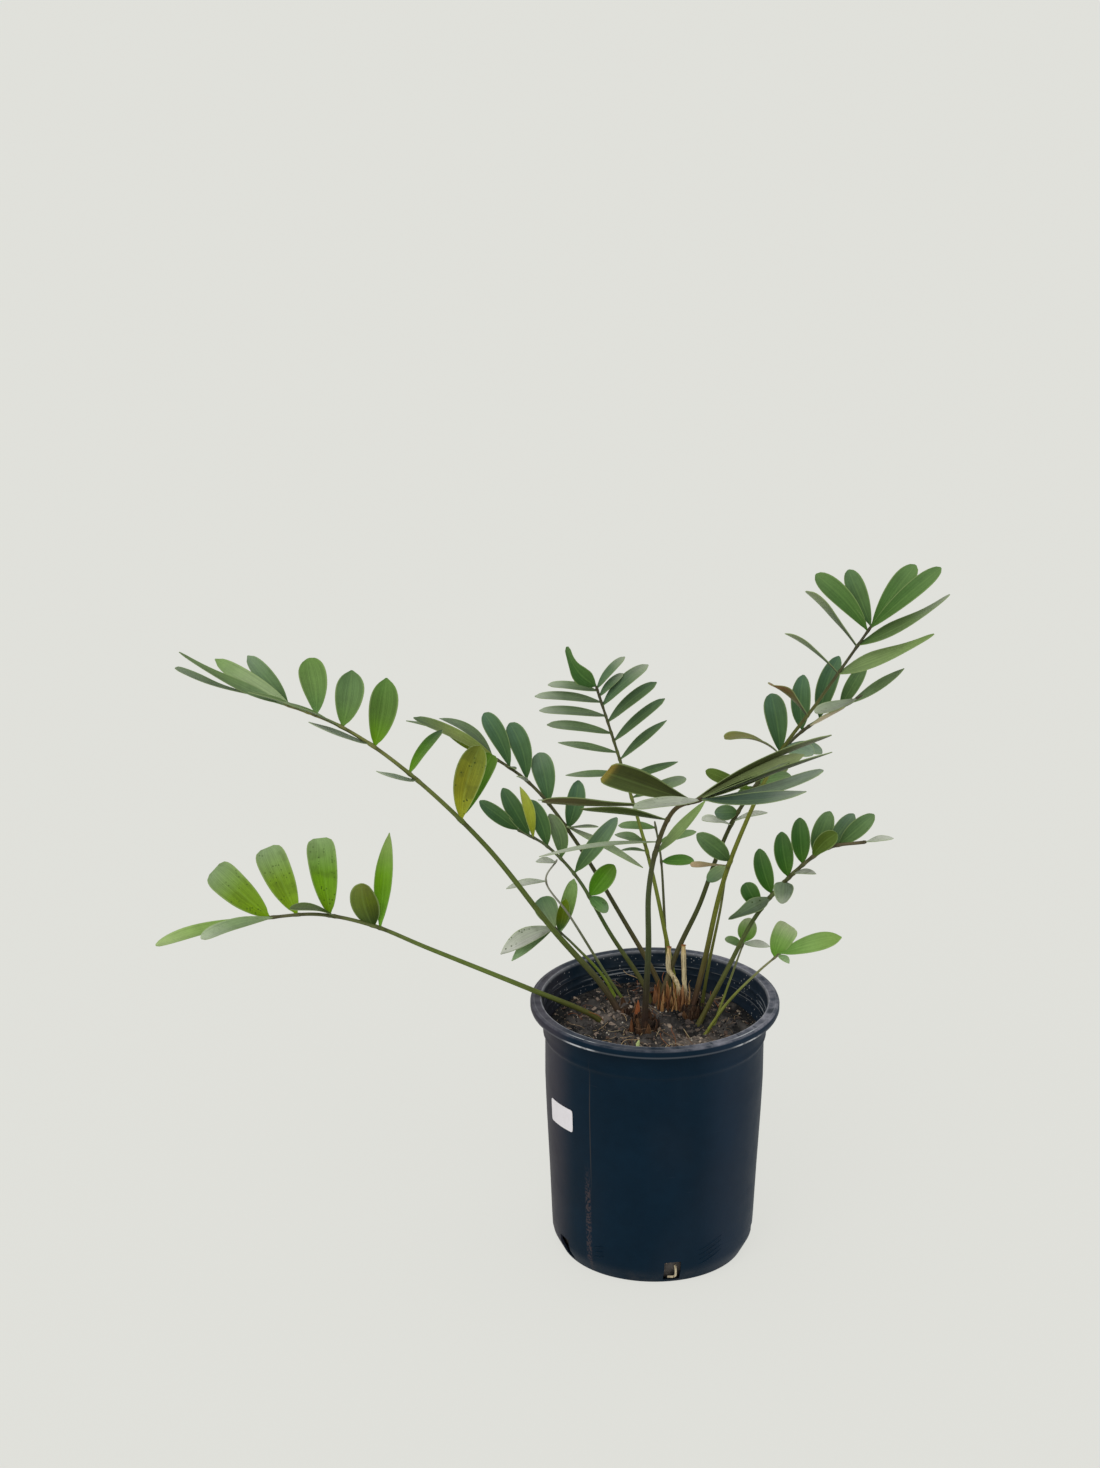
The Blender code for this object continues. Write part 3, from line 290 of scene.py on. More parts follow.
# Every frond, in millimetres: its stalk's route from the mix to its tip, its radius at foot and tip,
# its colours at the foot, the middle and the tip, then its leaflets as the leaf function takes them.
FRONDS = {
    "frond_low_left": (
        ((-48, 12, 226), (-62, 8, 248), (-125, 0, 281), (-225, -4, 327), (-281, -8, 354),
         (-335, -10, 367), (-390, -10, 363)),
        (3, 1.6), ((84, 84, 42), (92, 108, 50), (88, 88, 62)),
        (0.69, (10, 20, 94), 19.5, (-0.4, -0.9, 0.1), "bright", "lance", 0.02),
        (0.71, (-8, -30, 58), 28, UNDER, "moss", "round", 0.05, 0.06),
        (0.825, (-9, 15, 77), 29, FRONT, "lime", "square"),
        (0.91, (-29, 12, 67), 31, FRONT, "lime_misty", "square"),
        (0.982, (-54, 10, 48), 32, FRONT, "lime_misty", "square"),
        (0.812, (-42, -30, 21), 17, UP, "edge_olive", "oval", 0.08),
        (0.97, (-70, -34, -8), 21, UP, "mist", "spoon"),
        (1, (-106, -12, -24), 22, UP, "light", "spoon", 0.03),
    ),
    "frond_upper_left": (
        ((-25, 22, 226), (-54, 15, 280), (-103, 5, 345), (-168, -10, 440), (-239, -20, 518),
         (-306, -28, 572), (-382, -30, 605)),
        (3.4, 1.4), ((80, 66, 54), (84, 98, 46), (128, 128, 78)),
        (0.56, (31, 34, 55), 18, FRONT, "leaf", "square"),
        (0.556, (19, -2, 79), 28, FRONT, "mustard", "spoon", 0.05, -0.05),
        (0.692, (32, 30, 34), 17, (-0.7, -0.5, 0.5), "folded", "strap"),
        (0.775, (12, 20, 64), 28, FRONT, "fresh", "nib", 0.05, 0.03),
        (0.845, (9, 24, 50), 28, FRONT, "sage", "nib", 0.05, 0.03),
        (0.897, (-8, 24, 50), 27, FRONT, "sage_light", "spoon", 0.05, 0.05),
        (0.95, (-40, 22, 43), 17, SLOPED, "dusk", "strap"),
        (0.945, (-73, 12, 44), 17, SLOPED, "striped", "strap", 0.05, -0.02),
        (0.672, (-38, -30, 21), 18, (0.1, 0, 1), "grey_thin", "lance", -0.05),
        (0.785, (-57, -25, 32), 20, (0.1, 0, 1), "grey_thin", "lance", -0.03),
        (0.85, (-52, -28, 35), 18, (0.1, 0.1, 1), "shade", "lance", 0.02),
        (0.915, (-54, -26, 30), 18, (0.1, 0.1, 1), "shade", "lance", 0.02),
        (0.962, (-95, -22, 60), 12.5, (0, -0.5, 0.85), "shade", "taper", -0.01, -0.03),
        (1, (-82, -10, 32), 16, (0, -0.1, 1), "slate", "oar", -0.04),
    ),
    "frond_left_middle": (
        ((16, 42, 226), (4, 50, 268), (-30, 60, 329), (-80, 74, 412), (-127, 84, 471), (-194, 90, 516)),
        (2.8, 1.3), ((92, 80, 52), (72, 74, 46), (86, 88, 62)),
        (0.612, (11, 20, 45), 19, FRONT, "deep", "oval", 0.05, 0.04),
        (0.7, (-10, 20, 47), 23, FRONT, "deep_grey", "spoon", 0.05, 0.03),
        (0.788, (-17, 20, 54), 21, FRONT, "deep", "spoon", 0.05, 0.08),
        (0.845, (-26, 18, 52), 19, FRONT, "deep", "spoon", 0.05, 0.06),
        (0.9, (-54, 12, 37), 10, SLOPED, "slate", "lance", 0.05, 0.12),
        (0.9, (-47, 4, 25), 12, SLOPED, "yellow_olive", "lance"),
        (0.885, (-83, -18, 52), 18, (0.2, -0.3, 0.9), "lime_grey", "strap", 0.04),
        (0.625, (78, -46, -27), 15, (0.1, 0, 1), "pale_edge", "lance", 0.01),
        (0.618, (32, -28, 12), 14, (0, 0.15, 1), "tick", "lance", 0),
        (0.7, (-10, -16, 10), 8, EDGE_ON, "oat", "lance"),
        (0.78, (-12, -14, 12), 8, EDGE_ON, "oat", "lance"),
        (0.85, (8, -12, 2), 7, EDGE_ON, "tick", "lance"),
        (1, (-55, -4, 20), 10, (0, 0.1, 1), "slate", "lance", 0.03),
    ),
    "frond_left_inner": (
        ((4, 33, 226), (-10, 35, 269), (-44, 36, 325), (-76, 36, 384), (-107, 34, 421),
         (-138, 34, 440)),
        (2.8, 1.2), ((88, 84, 50), (72, 90, 46), (84, 92, 66)),
        (0.6, (25, 10, 30), 21, (-0.25, -1, 0.2), "leaf"),
        (0.712, (43, 6, 58), 17, (-0.25, -1, 0.2), "blue_green"),
        (0.792, (-12, 10, 44), 16, FRONT, "forest_grey", "oval", 0.05, 0.11),
        (0.865, (-17, 10, 46), 17, FRONT, "forest", "oval", 0.05, 0.05),
        (0.945, (-27, 8, 48), 18, FRONT, "forest"),
        (0.992, (-39, 2, 31), 15, FRONT, "forest"),
        (0.93, (-13, -14, 60), 14, (0.7, -0.7, 0.1), "yellow", "lance"),
        (0.6, (18, -12, -12), 15, (0, -0.6, 1), "spotted"),
    ),
    "frond_left_small": (
        ((-28, 48, 226), (-50, 60, 266), (-80, 66, 299), (-101, 68, 319)),
        (2, 1.1), ((120, 138, 52), (88, 100, 58), (80, 88, 62)),
        (0.985, (-14, 12, 29), 24, FRONT, "disc", "spoon"),
        (0.93, (14, 10, 55), 15, FRONT, "milky", "strap"),
        (0.945, (7, -8, 39), 13, (0.1, -0.9, 0.3), "two_tone"),
        (0.99, (-55, -30, -16), 22, (0, -0.4, 1), "ghost", "lance", 0.1),
        (1, (-43, -26, -26), 16, (0, -0.25, 1), "pale_green", "lance"),
    ),
    "frond_left_thin": (
        ((-14, 40, 226), (-42, 50, 264), (-84, 52, 336), (-109, 52, 375), (-98, 52, 400)),
        (1.8, 0.8), ((96, 108, 52), (112, 116, 96), (150, 150, 136)),
        (0.87, (-40, -10, -4), 12, UP, "haze", "lance", 0.06),
        (0.985, (-20, -4, 2), 12, UP, "haze", "lance"),
    ),
    "frond_back_tall": (
        ((29, 50, 226), (16, 62, 293), (-1, 75, 373), (-17, 90, 431), (-39, 105, 501), (-59, 114, 563)),
        (2.6, 1.2), ((118, 122, 44), (110, 122, 52), (78, 80, 60)),
        (0.735, (-59, -10, 1.5), 10, HANGING, "fern", "lance", 0),
        (0.797, (-60, -10, 14.5), 11, HANGING, "fern", "lance", 0.01),
        (0.855, (-65, -10, 13), 14, HANGING, "fern", "strap", 0.035),
        (0.908, (-67, -10, 9.5), 13, HANGING, "fern_pale", "strap", 0.035),
        (0.95, (-67, -10, 10), 13, HANGING, "fern_pale", "strap", 0.045),
        (0.985, (-50, -10, 10), 12, HANGING, "fern_pale", "strap", 0.04),
        (0.72, (53, 4, 16), 10, RISING, "fern_dark", "lance", 0),
        (0.775, (47, 4, 41), 12, RISING, "fern_dark", "lance", 0.03),
        (0.832, (51, 4, 44), 13, RISING, "fern_dark", "strap", 0.03),
        (0.89, (49, 4, 41), 15, RISING, "fern_dark", "strap"),
        (0.94, (46, 4, 42), 16, RISING, "fern_fade", "strap", 0.07),
        (0.968, (24, 4, 23), 10, RISING, "fern_fade", "strap", 0.06),
        (0.66, (55, 2, 20), 14, (-0.3, -0.5, 0.85), "fern", "spoon", 0.02),
        (0.992, (28, 2, 33), 11, RISING, "fern_fade", "strap", 0.06),
        (1, (-29, 2, 41), 19, (-0.2, -0.9, 0.4), "gloss", "tail", 0.02, -0.12),
        (0.53, (-30, -2, 8), 12, (0, -0.4, 0.9), "fern", "lance"),
        (0.5, (-26, -4, 3), 8, (0, 0, 1), "fern_dark", "lance"),
    ),
    "frond_front": (
        ((-10, -12, 226), (-10, -20, 271), (-8, -34, 340), (-9, -56, 411), (-2, -76, 467),
         (13, -101, 515), (38, -132, 539)),
        (3.4, 2), ((66, 52, 46), (70, 80, 50), (82, 70, 44)),
        (0.68, (48, 4, 54), 14, (-0.6, -0.5, 0.6), "pea", "lance", -0.03),
        (0.728, (-115, -18, -8), 13, (0, 0.1, 1), "cloud", "lance", 0.03),
        (0.82, (-84, -24, 21), 26, (0.2, 0.6, 0.75), "underside", "lance", 0.01),
        (0.94, (-139, -2, 2), 24, (0, 0.6, 0.8), "brown_edge", "oar", -0.02),
        (0.96, (-83, -32, 42), 32, (0, 0.95, 0.3), "underside_gold", "paddle", 0, 0, 0.04),
        (0.99, (-64, -46, 10), 20, UP, "white_leaf", "strap", 0.01),
        (0.955, (132, 20, 60), 19, (-0.3, 0.6, 0.7), "dark_strap", "strap", 0.03),
        (0.975, (126, -10, 53), 21, (-0.3, 0.42, 0.8), "black_strap", "strap", 0),
        (0.985, (114, -34, 43), 23, (-0.3, -0.12, 1), "steel", "spoon", -0.06),
        (1, (94, -54, 29), 24, (-0.15, -0.15, 1), "steel_dark", "lance", -0.05),
        (0.965, (90, 10, 36), 16, (-0.3, 0, 0.9), "pale_edge", "lance", 0),
        (0.965, (104, 16, 41), 19, (-0.3, -0.5, 0.8), "vein_leaf", "strap", 0.01),
        (0.97, (90, 4, 34), 10, (-0.3, 0.3, 0.9), "vein_leaf", "lance", 0.03),
    ),
    "frond_right_tall": (
        ((34, 29, 226), (49, 30, 290), (66, 30, 377), (87.5, 30, 444), (120, 30, 520), (159, 30, 579),
         (208, 30, 656)),
        (3.1, 1.3), ((86, 66, 54), (106, 112, 44), (70, 70, 52)),
        (0.997, (-23, 10, 55), 19, (0.1, -1, 0.15), "grass_dark", "spoon"),
        (0.985, (-52, 4, 57), 20, (0.1, -1, 0.15), "grass", "spoon", 0.05, 0.05),
        (0.998, (42, 8, 60), 21, (-0.35, -0.85, 0.4), "grass", "spoon"),
        (0.99, (67, -6, 65), 17, (-0.35, -0.85, 0.4), "grass", "spoon"),
        (0.95, (86, -10, 55), 21, (-0.45, -0.3, 0.85), "grass_fade", "taper", -0.05),
        (0.875, (91, -12, 45), 25, (-0.45, -0.3, 0.85), "pea", "taper", -0.03),
        (0.945, (-51, -6, 59), 24, (0.45, 0.42, 0.7), "stem_leaf", "oar", 0.03),
        (0.875, (-53, -8, 44), 19, (0.45, 0.42, 0.7), "stem_leaf", "oar"),
        (0.762, (-37, -10, 36), 30, (0.45, 0.42, 0.7), "tan_edge", "oar", 0.08),
        (0.662, (-9, 18, 56), 22.5, (0.1, -1, 0.2), "deep", "spoon", 0.05, 0.02),
        (0.66, (-55, -20, 23.5), 33, (0.2, 0.2, 0.95), "mustard_thin", "spoon", 0.11),
        (0.675, (26, -40, 8), 23, (-0.1, -0.35, 0.95), "sea"),
        (0.395, (-34, -10, 34), 19, FRONT, "two_green", "oval", 0.05, 0.03),
    ),
    "frond_right_second": (
        ((-4, 20, 226), (22, 44, 298), (46, 60, 347), (66, 72, 402), (90, 80, 450), (141, 84, 520),
         (207, 84, 564)),
        (3, 1.3), ((88, 76, 56), (70, 76, 42), (84, 80, 62)),
        (0.83, (1, 16, 54), 20, FRONT, "deep", "oval", 0.05, -0.05),
        (0.88, (19, 14, 62), 20, FRONT, "deep", "oval", 0.05, -0.06),
        (0.935, (26, 12, 43), 15, (-0.3, -0.9, 0.3), "two_green"),
        (0.961, (53, -6, 39), 15, (-0.4, -0.35, 0.8), "shade", "lance", -0.03),
        (0.64, (-47, 10, 17), 13, FRONT, "rust", "spoon"),
        (0.645, (-3, 4, -16), 15, FRONT, "deep"),
        (0.65, (-17, 4, -14), 13, FRONT, "two_green"),
        (0.575, (-24, -6, 2), 16, FRONT, "blue_green"),
        (0.456, (5, -12, 20), 10, FRONT, "mint"),
        (0.539, (-30, -22, 14), 18, UP, "haze"),
        (0.549, (34, -12, 14), 12, UP, "haze", "lance"),
        (0.78, (32, -34, 4), 18, (-0.1, -0.3, 0.95), "sea"),
        (0.984, (-44, -30, -4), 18, (-0.1, -0.2, 1), "oat", "spoon", 0),
        (0.85, (33, -26, 30), 10, EDGE_ON, "cream", "lance", 0),
        (0.64, (36, 6, 24), 14, FRONT, "vein_leaf", "oval", 0.05, -0.04),
        (0.665, (32, -10, 10), 15, (0, -0.9, 0.4), "mint"),
    ),
    "frond_back_thin": (
        ((20, 64, 226), (13, 76, 300), (8, 90, 380), (1, 100, 422)),
        (1.8, 1), ((90, 92, 52), (84, 88, 62), (92, 96, 72)),
        (0.79, (33, -8, 4), 13, (0, -0.6, 0.8), "stripe"),
        (0.89, (38, -6, 14), 9, (0, -0.6, 0.8), "mint", "strap"),
        (0.965, (-38, 6, 0), 10, (0, -0.5, 0.8), "mint", "strap"),
    ),
    "frond_right_thin": (
        ((48, 50, 226), (56, 53, 283), (67, 55, 345), (73, 55, 394)),
        (2, 1), ((96, 100, 50), (112, 116, 56), (100, 104, 72)),
        (0.985, (-20, -10, -12), 14, SLOPED, "disc"),
        (0.99, (-37, 2, 0), 6.5, SLOPED, "dry", "oar"),
    ),
    "frond_right_low": (
        ((40, 11, 226), (73, 5, 302), (98, 0, 358), (126, -5, 399), (165, -13, 438), (205, -20, 449)),
        (2.6, 1.7), ((98, 96, 54), (82, 96, 52), (96, 88, 66)),
        (0.54, (-16, 2, 27), 18, FRONT, "dark_oval", "spoon", 0.05, -0.04),
        (0.605, (-13, 15, 43), 18, FRONT, "dark_oval", "oval", 0.05, -0.04),
        (0.69, (-7, 15, 43), 19, FRONT, "dark_oval", "oval", 0.05, -0.03),
        (0.76, (-3, 15, 44), 19, FRONT, "dark_oval", "oval", 0.05, -0.02),
        (0.812, (16, 15, 41), 20, FRONT, "two_green", "oval", 0.05, -0.03),
        (0.87, (25, 12, 31), 17, (0, -0.9, 0.45), "blue_green"),
        (0.905, (35, 8, 29), 17, (0, -0.9, 0.45), "two_green"),
        (0.805, (22, -14, 31), 17, (-0.2, -0.9, 0.3), "rust", "spoon", 0.05, -0.06),
        (1, (26, -6, 6), 9, (0, -0.3, 0.95), "haze", "lance"),
        (0.668, (-4, -30, -10), 20, (0, -0.5, 0.85), "rim_disc", "round"),
        (0.715, (20, -28, 11), 9, (-0.05, -0.45, 0.9), "ghost", "lance"),
        (0.59, (-42, -28, -11), 18, (0, -0.45, 0.95), "blotch", "taper", -0.02),
    ),
    "frond_right_sprig": (
        ((46, -8, 226), (71, -20, 274), (100, -29, 312), (122, -31, 334)),
        (1.8, 1), ((134, 140, 66), (120, 128, 72), (130, 130, 96)),
        (0.95, (14, 6, 33), 24, FRONT, "sprig", "square", 0.05, -0.05),
        (1, (60, -10, 22), 19, (0, -0.7, 0.7), "sprig_wide", "nib"),
        (0.985, (10, -16, -2), 9, UP, "sprig_pale", "lance"),
    ),
    "frond_right_bud": (
        ((56, 3, 226), (74, 12, 280), (89, 18, 324)),
        (1.6, 0.9), ((126, 134, 66), (112, 120, 72), (126, 130, 96)),
        (1, (6, 2, 26), 19, FRONT, "sprig"),
        (0.97, (-18, -2, 8), 11, (0, -0.45, 0.9), "mint"),
        (0.99, (26, -12, 2), 10, (0, -0.45, 0.9), "haze", "lance"),
    ),
}


# ---------------------------------------------------------------- what a user may change
class StagePlan(bpy.types.PropertyGroup):
    """The floor and the studio light."""
    floor_colour: FloatVectorProperty(name="Floor", description="Colour of the studio floor",
        size=3, subtype="COLOR", min=0.0, max=1.0, default=(0.100, 0.100, 0.095))
    floor_glow: FloatProperty(name="Floor light",
        description="How brightly the lit floor shines by itself", default=0.6525, min=0.0, max=2.0)
    daylight: FloatProperty(name="Daylight", description="Strength of the light from all round",
        default=0.745, min=0.0, max=4.0)
    key_light: FloatProperty(name="Key light", description="Strength of the soft light from above",
        default=0.85, min=0.0, max=10.0)
    key_angle: FloatProperty(name="Key size", description="How wide the soft light is",
        subtype="ANGLE", default=math.radians(40.0), min=0.0, max=math.pi)


class CanPlan(bpy.types.PropertyGroup):
    """The nursery can."""
    sides: IntProperty(name="Sides", description="How many sides the turned can has", default=144,
        min=48, max=256)
    plastic_colour: FloatVectorProperty(name="Plastic", description="Colour of the moulded plastic",
        size=3, subtype="COLOR", min=0.0, max=1.0, default=(0.0030, 0.0140, 0.0290))
    # The next colour is a painted sheen, laid over the plastic in soft clouds.
    sheen_colour: FloatVectorProperty(name="Painted plastic sheen",
        description="Colour of the sheen painted on the plastic", size=3, subtype="COLOR", min=0.0,
        max=1.0, default=(0.030, 0.034, 0.046))
    hole_width: FloatProperty(name="Drain hole", description="Width of a drain hole", default=0.017,
        min=0.004, max=0.030, unit="LENGTH")
    hole_count: IntProperty(name="Drain holes", description="Number of drain holes", default=5,
        min=3, max=8)


class LabelPlan(bpy.types.PropertyGroup):
    """The blank sticker."""
    width: FloatProperty(name="Width", description="Width of the sticker", default=0.040, min=0.01,
        max=0.08, unit="LENGTH")
    height: FloatProperty(name="Height", description="Height of the sticker", default=0.0245,
        min=0.01, max=0.06, unit="LENGTH")
    paper_colour: FloatVectorProperty(name="Paper", description="Colour of the sticker's paper",
        size=3, subtype="COLOR", min=0.0, max=1.0, default=(0.78, 0.75, 0.80))


class MixPlan(bpy.types.PropertyGroup):
    """The potting mix and what lies on it."""
    peat_colour: FloatVectorProperty(name="Peat", description="Colour of the peat", size=3,
        subtype="COLOR", min=0.0, max=1.0, default=(0.0175, 0.0175, 0.0185))
    bark_count: IntProperty(name="Bark chips", description="Number of bark chips", default=640,
        min=1, max=2000)
    crumb_count: IntProperty(name="Crumbs", description="Number of peat crumbs", default=900, min=1,
        max=3000)
    perlite_count: IntProperty(name="Perlite", description="Number of perlite grains", default=150,
        min=1, max=1000)
    fibre_count: IntProperty(name="Fibres", description="Number of root fibres", default=170, min=1,
        max=1000)
    seed: IntProperty(name="Seed", description="Which scatter of bits is used", default=4, min=0,
        max=999)


class FrondPlan(bpy.types.PropertyGroup):
    """The stalks and leaflets."""
    leaf_thickness: FloatProperty(name="Leaf thickness", description="Thickness of a leaflet",
        default=0.0009, min=0.0002, max=0.003, unit="LENGTH")
    joint_swell: FloatProperty(name="Joint swelling",
        description="How far a stalk swells at a leaflet", default=0.0005, min=0.0, max=0.003,
        unit="LENGTH")
    foot_swell: FloatProperty(name="Foot swelling",
        description="How far a stalk swells at its foot", default=0.0013, min=0.0, max=0.005,
        unit="LENGTH")
    vein_depth: FloatProperty(name="Veins", description="How strongly the veins show", default=0.5,
        min=0.0, max=1.0, subtype="FACTOR")


# ---------------------------------------------------------------- helpers
def paint(red, green, blue):
    """A colour given as it looks (0 to 255), as a linear colour with alpha."""
    shares = (channel / 255.0 for channel in (red, green, blue))
    return tuple(s / 12.92 if s <= 0.04045 else ((s + 0.055) / 1.055) ** 2.4 for s in shares) + (1.0,)


def blend(first, second, share):
    share = min(max(share, 0.0), 1.0)
    return tuple(a + (b - a) * share for a, b in zip(first, second))


def smooth_value(points, place):
    """A smooth curve through (place, value) points, without overshoot."""
    for index in range(len(points) - 1):
        (a, low), (b, high) = points[index], points[index + 1]
        if place <= b or index == len(points) - 2:
            before = points[index - 1] if index else (a - (b - a), low)
            after = points[index + 2] if index + 2 < len(points) else (b + (b - a), high)
            slope = (high - low) / (b - a)
            start = (high - before[1]) / (b - before[0])
            end = (after[1] - low) / (after[0] - a)
            start = 0.0 if start * slope <= 0 else start
            end = 0.0 if end * slope <= 0 else end
            t = min(max((place - a) / (b - a), 0.0), 1.0)
            return (low * (2 * t ** 3 - 3 * t ** 2 + 1) + (b - a) * start * (t ** 3 - 2 * t ** 2 + t)
                    + high * (3 * t ** 2 - 2 * t ** 3) + (b - a) * end * (t ** 3 - t ** 2))


def route_points(knots, count):
    """Evenly spaced points on a smooth curve through the knots."""
    ends = [Vector(knot) for knot in knots]
    ends = [2.0 * ends[0] - ends[1]] + ends + [2.0 * ends[-1] - ends[-2]]
    fine = []
    for a, b, c, d in zip(ends, ends[1:], ends[2:], ends[3:]):
        for step in range(40):
            t = step / 40.0
            fine.append(0.5 * (2.0 * b + (c - a) * t + (2.0 * a - 5.0 * b + 4.0 * c - d) * t ** 2
                               + (3.0 * b - a - 3.0 * c + d) * t ** 3))
    fine.append(ends[-2])
    lengths = [0.0]
    for a, b in zip(fine, fine[1:]):
        lengths.append(lengths[-1] + (b - a).length)
    even, index = [], 0
    for step in range(count):
        wanted = lengths[-1] * step / (count - 1)
        while index < len(lengths) - 2 and lengths[index + 1] < wanted:
            index += 1
        share = (wanted - lengths[index]) / (lengths[index + 1] - lengths[index])
        even.append(fine[index].lerp(fine[index + 1], share))
    return even


def at_share(points, share):
    """The point at a share of an evenly spaced route."""
    place = share * (len(points) - 1)
    index = min(int(place), len(points) - 2)
    return points[index].lerp(points[index + 1], place - index)


def pick(*objects):
    """Select only these objects and make the first one active."""
    if bpy.context.object and bpy.context.object.mode != "OBJECT":
        bpy.ops.object.mode_set(mode="OBJECT")
    bpy.ops.object.select_all(action="DESELECT")
    for item in objects:
        item.select_set(True)
    if objects:
        bpy.context.view_layer.objects.active = objects[0]


def add(operator, name, **settings):
    """Add an object with one of Blender's add operators, and name it."""
    pick()
    operator(**settings)
    made = bpy.context.object
    made.name = made.data.name = name
    return made


def hang(name, data):
    """A new object in the scene that holds these data."""
    made = bpy.data.objects.new(name, data)
    bpy.context.scene.collection.objects.link(made)
    return made


def freeze(item):
    """Move an object's place, turn and size into its mesh."""
    pick(item)
    bpy.ops.object.transform_apply(location=True, rotation=True, scale=True)


def join(name, parts):
    """Join parts into one named piece."""
    pick(*parts)
    if len(parts) > 1:
        bpy.ops.object.join()
    parts[0].name = parts[0].data.name = name
    return parts[0]


def apply_modifier(item, kind, **settings):
    """Add a modifier to a piece and apply it."""
    pick(item)
    modifier = item.modifiers.new(kind.lower(), kind)
    for key, value in settings.items():
        setattr(modifier, key, value)
    bpy.ops.object.modifier_apply(modifier=modifier.name)


def in_edit_mode(item, operator, **settings):
    """Run a modelling operator on a whole mesh in edit mode."""
    pick(item)
    bpy.ops.object.mode_set(mode="EDIT")
    bpy.ops.mesh.select_all(action="SELECT")
    operator(**settings)
    bpy.ops.object.mode_set(mode="OBJECT")


def smooth_sides(item, angle):
    """Shade a piece smooth, but sharp where its faces meet at more than this many degrees."""
    pick(item)
    bpy.ops.object.shade_smooth_by_angle(angle=math.radians(angle))


def lathe(name, profile, sides):
    """Shape a turned form: a circle is extruded and resized from one profile point to the next."""
    made = add(bpy.ops.mesh.primitive_circle_add, name, vertices=sides, radius=profile[0][0],
               location=(0.0, 0.0, profile[0][1]))
    freeze(made)
    bpy.ops.object.mode_set(mode="EDIT")
    bpy.ops.mesh.select_all(action="SELECT")
    for (radius, height), (wider, higher) in zip(profile, profile[1:]):
        bpy.ops.mesh.extrude_region_move(TRANSFORM_OT_translate={"value": (0.0, 0.0, higher - height)})
        grow = wider / radius
        bpy.ops.transform.resize(value=(grow, grow, 1.0), center_override=(0.0, 0.0, higher))
    bpy.ops.mesh.select_all(action="SELECT")
    bpy.ops.mesh.fill_holes(sides=0)
    bpy.ops.mesh.select_all(action="SELECT")
    bpy.ops.mesh.normals_make_consistent(inside=False)
    bpy.ops.object.mode_set(mode="OBJECT")
    return made


def tube(name, points, radii, rounding=4):
    """A round tube along a route: a bevelled curve turned into a closed mesh, ring after ring."""
    curve = bpy.data.curves.new(name, "CURVE")
    curve.dimensions = "3D"
    curve.bevel_depth = 1.0
    curve.bevel_resolution = rounding
    curve.use_fill_caps = True
    spline = curve.splines.new("POLY")
    spline.points.add(len(points) - 1)
    for knot, point, radius in zip(spline.points, points, radii):
        knot.co = (*point, 1.0)
        knot.radius = radius
    pick(hang(name, curve))
    bpy.ops.object.convert(target="MESH")
    return bpy.context.object


def set_colours(mesh, colours):
    """Write the tint: one colour for each vertex."""
    layer = mesh.color_attributes.new("tint", "FLOAT_COLOR", "POINT")
    layer.data.foreach_set("color", [channel for colour in colours for channel in colour])


def set_tint(mesh, tint):
    """Write one colour for the whole mesh."""
    set_colours(mesh, [tint] * len(mesh.vertices))


def copies_of(master, name, places, tints):
    """Copies of a master, each with its own mesh, placed and tinted, and joined into one piece."""
    made = []
    for place, tint in zip(places, tints):
        mesh = master.data.copy()
        mesh.transform(place)
        set_tint(mesh, tint)
        made.append(hang(name, mesh))
    return join(name, made)


def discard(*items):
    for item in items:
        bpy.data.objects.remove(item, do_unlink=True)


def settle(piece, slot, material, *nodes, smooth=60.0):
    """Give a piece its shading, its finish and its body, and hide the solids that it stands for."""
    if smooth:
        smooth_sides(piece, smooth)
    piece.data.materials.clear()
    piece.data.materials.append(material)
    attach(piece, "root")
    if nodes:
        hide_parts(*nodes)


def mix_height(x, y):
    """The surface of the mix: a mound round and behind the crowns with a hollow at the right."""
    mound = 0.013 * math.exp(-(math.hypot(x + 0.012, y - 0.040) / 0.056) ** 2)
    hollow = 0.009 * math.exp(-(math.hypot(x - 0.032, y + 0.004) / 0.016) ** 2)
    return MIX_EDGE_HEIGHT + mound - hollow - 0.04 * max(x, 0.0)


def clumps(x, y):
    """How far the mix stands above its smooth surface: rounded clumps and crumbs."""
    low = noise.noise((x * 55.0, y * 55.0, 1.7)) * 0.0042
    clod = abs(noise.noise((x * 140.0, y * 140.0, 6.1)))
    fine = noise.noise((x * 420.0, y * 420.0, 3.3)) * 0.0007
    return low + (0.5 - clod) * 0.0064 + fine


def dried(tint, place):
    """A bit's tint, paler where the mix has dried out."""
    spot = place.translation
    dry = sum(math.exp(-(math.hypot(spot.x - x, spot.y - y) / spread) ** 2)
              for x, y, spread in DRY_PATCHES)
    return blend(tint, paint(184, 168, 156), 0.55 * min(dry, 1.0))


def scattered(chance, count, sizes, reach, lift, proportions):
    """Random places on the mix for bits of given sizes and proportions, within a reach and lifted."""
    for _ in range(count):
        size = chance.uniform(*sizes)
        angle, away = chance.uniform(0.0, 2.0 * math.pi), reach * math.sqrt(chance.random())
        x, y = away * math.cos(angle), away * math.sin(angle)
        place = Vector((x, y, mix_height(x, y) + clumps(x, y) + lift))
        shape = Matrix.Diagonal((*(size * share for share in proportions()), 1.0))
        turn = Matrix.Rotation(chance.uniform(0.0, 6.28), 4, "Z")
        for axis in "XY":
            turn = turn @ Matrix.Rotation(chance.uniform(-0.7, 0.7), 4, axis)
        yield Matrix.Translation(place) @ turn @ shape


def wall_radius(height):
    """The outside radius of the can at a height."""
    for (low_radius, low), (high_radius, high) in zip(OUTER_WALL, OUTER_WALL[1:]):
        if low <= height <= high:
            return low_radius + (high_radius - low_radius) * (height - low) / (high - low)
    raise ValueError("the can has no wall at that height")


def on_wall(angle, height, lift):
    """The point at an angle and a height, lifted off the can's wall."""
    reach = wall_radius(height) + lift
    return Vector((reach * math.sin(angle), -reach * math.cos(angle), height))


